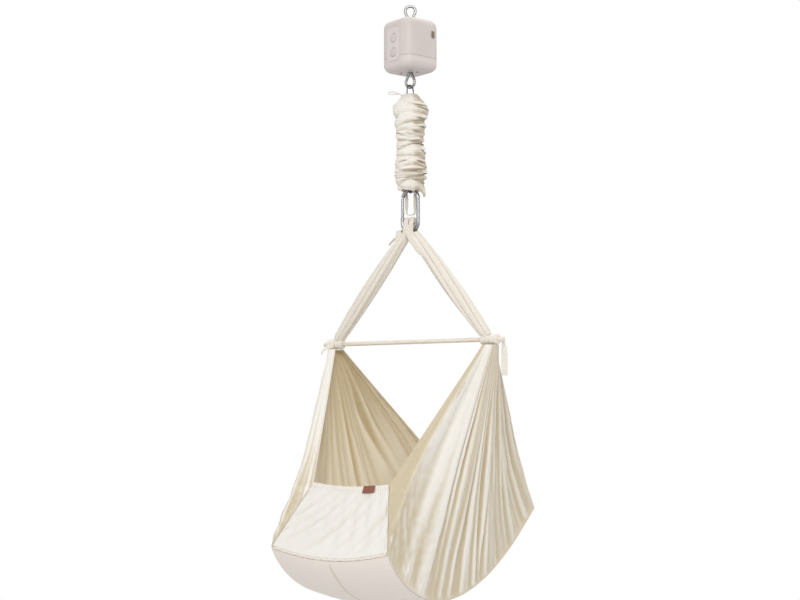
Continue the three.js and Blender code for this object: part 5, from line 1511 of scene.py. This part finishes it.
def make_bar():
    """A straight rod with eased ends"""
    profile = [(r, inward - BAR_HALF_LENGTH) for r, inward in BAR_END]
    middle = [(BAR_END[-1][0], z) for z in np.linspace(-280, 280, 21)]
    stations = profile + middle + [(r, -z) for r, z in reversed(profile)]
    obj = lathe("bar_rod", stations, 32, 40)
    turn = Matrix.Rotation(math.pi / 2, 4, "Y")
    obj.data.transform(Matrix.Translation((0, 0, BAR_Z * MM)) @ turn)
    put(obj, "wood", "bar", ["spreader_bar"])


make_bar()


LOOP_HALF_WIDTH = 26


def make_loop(name, side):
    """Turns of the tie wound round the sling, the panel and the bar"""
    rng = np.random.default_rng(41 if side > 0 else 42)
    wide = LOOP_HALF_WIDTH
    angles = circle(64)
    rings = []
    for x in np.linspace(-wide, wide, 90):
        wraps = abs(math.sin(math.pi * (x + wide) / (2 * wide) * 4))
        r = 12.4 + 2.4 * wraps**0.6 + 0.35 * np.cos(9 * angles + x * 0.4)
        r = r + 0.25 * np.cos(17 * angles + rng.uniform(0, 0.3))
        rings.append(np.stack([np.full(64, x), r * np.cos(angles), r * np.sin(angles)], axis=1))
    for x in (wide, -wide):
        bore = [np.full(64, x), 6.3 * np.cos(angles), 6.3 * np.sin(angles)]
        rings.append(np.stack(bore, axis=1))
    rings = np.array(rings) + np.array([side * APEX_X, 0, BAR_Z])
    obj = ring_object(f"bar_wrap_{name}", rings, closed=True)
    put(obj, "cotton", "cradle", [f"bar_loop_{name}"])


make_loop("left", -1)
make_loop("right", 1)


def make_tapes():
    """The loose ends of the ties: one hangs and turns, one runs off along the bar"""
    u, v = unit_grid(12, 70)
    wave = 1.6 * np.sin(math.pi * 1.5 * v)
    turn = math.radians(48) * smooth((v - 0.12) / 0.35) * (1 - 0.35 * smooth((v - 0.6) / 0.3))
    across = 9 * (2 * u - 1)
    x = APEX_X + LOOP_HALF_WIDTH + 1.6 + wave + 4 * v + across * np.sin(turn)
    y = 21 + 4 * v + across * np.cos(turn)
    right = cloth_object("tape_right", np.stack([x, y, BAR_Z + 7.5 - 105 * v], axis=2), 1.2)
    put(right, "webbing", "cradle", ["tie_tape_right"])
    u, v = unit_grid(10, 40)
    x = LOOP_HALF_WIDTH - APEX_X - 22 - 40 * v
    y = -LOOP_RADIUS - 1.1 - 9 * np.minimum(0.85, 3 * v)
    z = BAR_Z - 0.3 - 11 * u - 20 * v * v
    left = cloth_object("tape_left", np.stack([x, y, z], axis=2), 1.2)
    put(left, "webbing", "cradle", ["tie_tape_left"])


make_tapes()


def strap_route():
    """The strap's rounded outline in X and Z, evenly spaced, with its outward direction"""
    low, high, left, right, corner = -595.1, -520.9, -18.1, 9.1, 8.0
    corners = ((right, high), (left, high), (left, low), (right, low))
    route = []
    for k, (x, z) in enumerate(corners):
        middle_x = x + (corner if x == left else -corner)
        middle_z = z + (-corner if z == high else corner)
        route += arc((middle_x, middle_z), corner, QUARTER_TURN * (k + np.arange(9) / 8))
        next_x, next_z = corners[(k + 1) % 4]
        if next_x == x:
            end = next_z + (corner if next_z == low else -corner)
            route += [(x, mix(middle_z, end, t)) for t in np.linspace(0, 1, 30)[1:-1]]
    closed = np.array([*route, route[0]])
    along = travelled(closed)
    at = np.linspace(0, along[-1], 220, endpoint=False)
    x, z = np.interp(at, along, closed[:, 0]), np.interp(at, along, closed[:, 1])
    tx, tz = np.roll(x, -1) - np.roll(x, 1), np.roll(z, -1) - np.roll(z, 1)
    size = np.hypot(tx, tz)
    straight = smooth((z - low - 10) / 16) * smooth((high - 10 - z) / 16)
    return zip(x, z, tz / size, -tx / size, straight)


def make_strap():
    """The safety strap: a loop of ribbed webbing whose strands turn a little to the front"""
    y, half_width, half_end, half_thick = 9.55, 4.5, 3.95, 0.9
    rings = []
    for x, z, nx, nz, straight in strap_route():
        twist = math.radians(46) * straight * (1 if x > -4 else -1)
        half = mix(half_end, half_width, straight)
        ring = []
        for a in circle(28):
            wx = math.copysign(abs(math.cos(a)) ** 0.5, math.cos(a)) * half
            wz = math.copysign(abs(math.sin(a)) ** 0.7, math.sin(a)) * half_thick
            dy = wx * math.cos(twist) - wz * math.sin(twist)
            dn = wx * math.sin(twist) + wz * math.cos(twist)
            ring.append((x + nx * dn, y + dy, z + nz * dn))
        rings.append(ring)
    obj = ring_object("strap_band", rings, closed=True)
    put(obj, "strap", "snap_hook", ["safety_strap"])


make_strap()


def make_sling_tie():
    """The thin loose tie that runs down the outside of the left sling"""
    start, end, outer = sling_axis(-1)
    outer = outer if outer[0] < 0 else -outer
    line = []
    for share, gap in ((0.015, 17.5), (0.05, 19.5), (0.09, 22.5), (0.13, 26.0), (0.165, 27.5)):
        line.append(mix(start, end, share) + outer * gap + np.array([0, -3.0, 0]))
    across = np.linspace(-5.1, 5.1, 8)[:, None, None] * np.array([0, 1.0, 0])
    obj = cloth_object("tie_sling", smooth_line(line, 50)[None] + across, 1.0)
    put(obj, "webbing", "cradle", ())


make_sling_tie()


def make_leather_tag():
    """A plain tag laid on the front end panel below its casing"""
    half, tall, from_middle, panel_width = 18, 20, 62, 242
    u0, u1 = (0.5 + (from_middle + edge) / panel_width for edge in (-half, half))
    across, down = np.linspace(u0, u1, 30), np.linspace(1 - tall / FRONT_EDGE, 1, 16)
    p = end_point(True, *np.meshgrid(across, down, indexing="ij"))
    normal = grid_normals(p)
    lift = 4.1
    facing = -np.sign(normal[15, 8, 1])
    tag = cloth_object("tag_leather", p + normal * facing * lift, 1.6)
    put(tag, "leather", "cradle", ["leather_tag"])


make_leather_tag()

# Materials for the CAD pieces that stay
CARRIED = {
    "zinc": ["eye_nut", "chassis", *(f"housing_screw_{k}" for k in range(1, 5))],
    "board": ["control_board"],
    "black_plastic": ["power_inlet", "rack_guide"],
    "taupe": ["housing_tag"],
    "nylon": ["rack_pinion", "drive_gear"],
    "brass": ["motor_pinion", "rod_bush"],
    "steel": ["motor_can", "gear_axle", "lift_rack"],
    "carabiner": ["carabiner_gate"],
    "dark_steel": ["gate_pin"],
}
for key, nodes in CARRIED.items():
    for node in nodes:
        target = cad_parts[node]
        if len(target.material_slots) == 0:
            target.data.materials.append(M[key])
        for material_slot in target.material_slots:
            material_slot.material = M[key]


# Floor, background and lights


def make_stage():
    radius, level, sides = 2.4, -2.0, 96
    n = Surface("floor", (0.86, 0.86, 0.86), 0.7)
    drift = n.noise(n.coordinates(), 3.0, 3)
    n.finish(n.ramp(drift, (0.3, (0.84, 0.84, 0.84)), (0.7, (0.88, 0.88, 0.88))))
    points = [(x, y, level) for x, y in arc((0, 0), radius, circle(sides))]
    floor = mesh_object("floor", points, [range(sides)], scale=1.0)
    floor.data.materials.append(n.material)


def make_world():
    """White behind the object and in its reflections, a soft cool grey as light"""
    world = bpy.data.worlds.new("studio")
    bpy.context.scene.world = world
    world.use_nodes = True
    n = Nodes(world.node_tree)
    n.tree.nodes.clear()
    rays = n.tree.nodes.new("ShaderNodeLightPath").outputs
    mirrored = n.math("MAXIMUM", rays["Is Camera Ray"], rays["Is Glossy Ray"])
    through = n.math("MAXIMUM", mirrored, rays["Is Transmission Ray"])
    seen, light = (
        n.add("ShaderNodeBackground", "Background", {"Color": color, "Strength": strength})
        for color, strength in (((1, 1, 1, 1), 1.0), ((0.96, 0.98, 1.0, 1), 0.47))
    )
    pick = n.add("ShaderNodeMixShader", "Shader", {"Fac": through, 1: light, 2: seen})
    n.fill(n.tree.nodes.new("ShaderNodeOutputWorld"), {"Surface": pick})


def area_light(name, place, aim, size, power, color):
    data = bpy.data.lights.new(name, "AREA")
    data.shape = "RECTANGLE"
    data.size, data.size_y = size
    data.energy = power
    data.color = color
    face_back(add_object(name, data), place, Vector(place) - Vector(aim))


make_stage()
make_world()
area_light("key", (2.4, -3.7, 0.9), (0, 0, -1.1), (1.6, 1.8), 102, (1.0, 0.985, 0.965))
area_light("left", (-3.4, -3.0, -0.2), (0, 0, -1.1), (1.6, 2.4), 33, (1.0, 0.99, 0.98))
area_light("back", (2.9, 3.4, 0.2), (0, 0, -1.1), (2.4, 2.4), 32, (1.0, 0.99, 0.98))
area_light("top", (0.3, 0.4, 2.6), (0, 0, -1.0), (3.0, 3.0), 46, (1.0, 1.0, 1.0))

bpy.context.scene.view_settings.view_transform = "Standard"
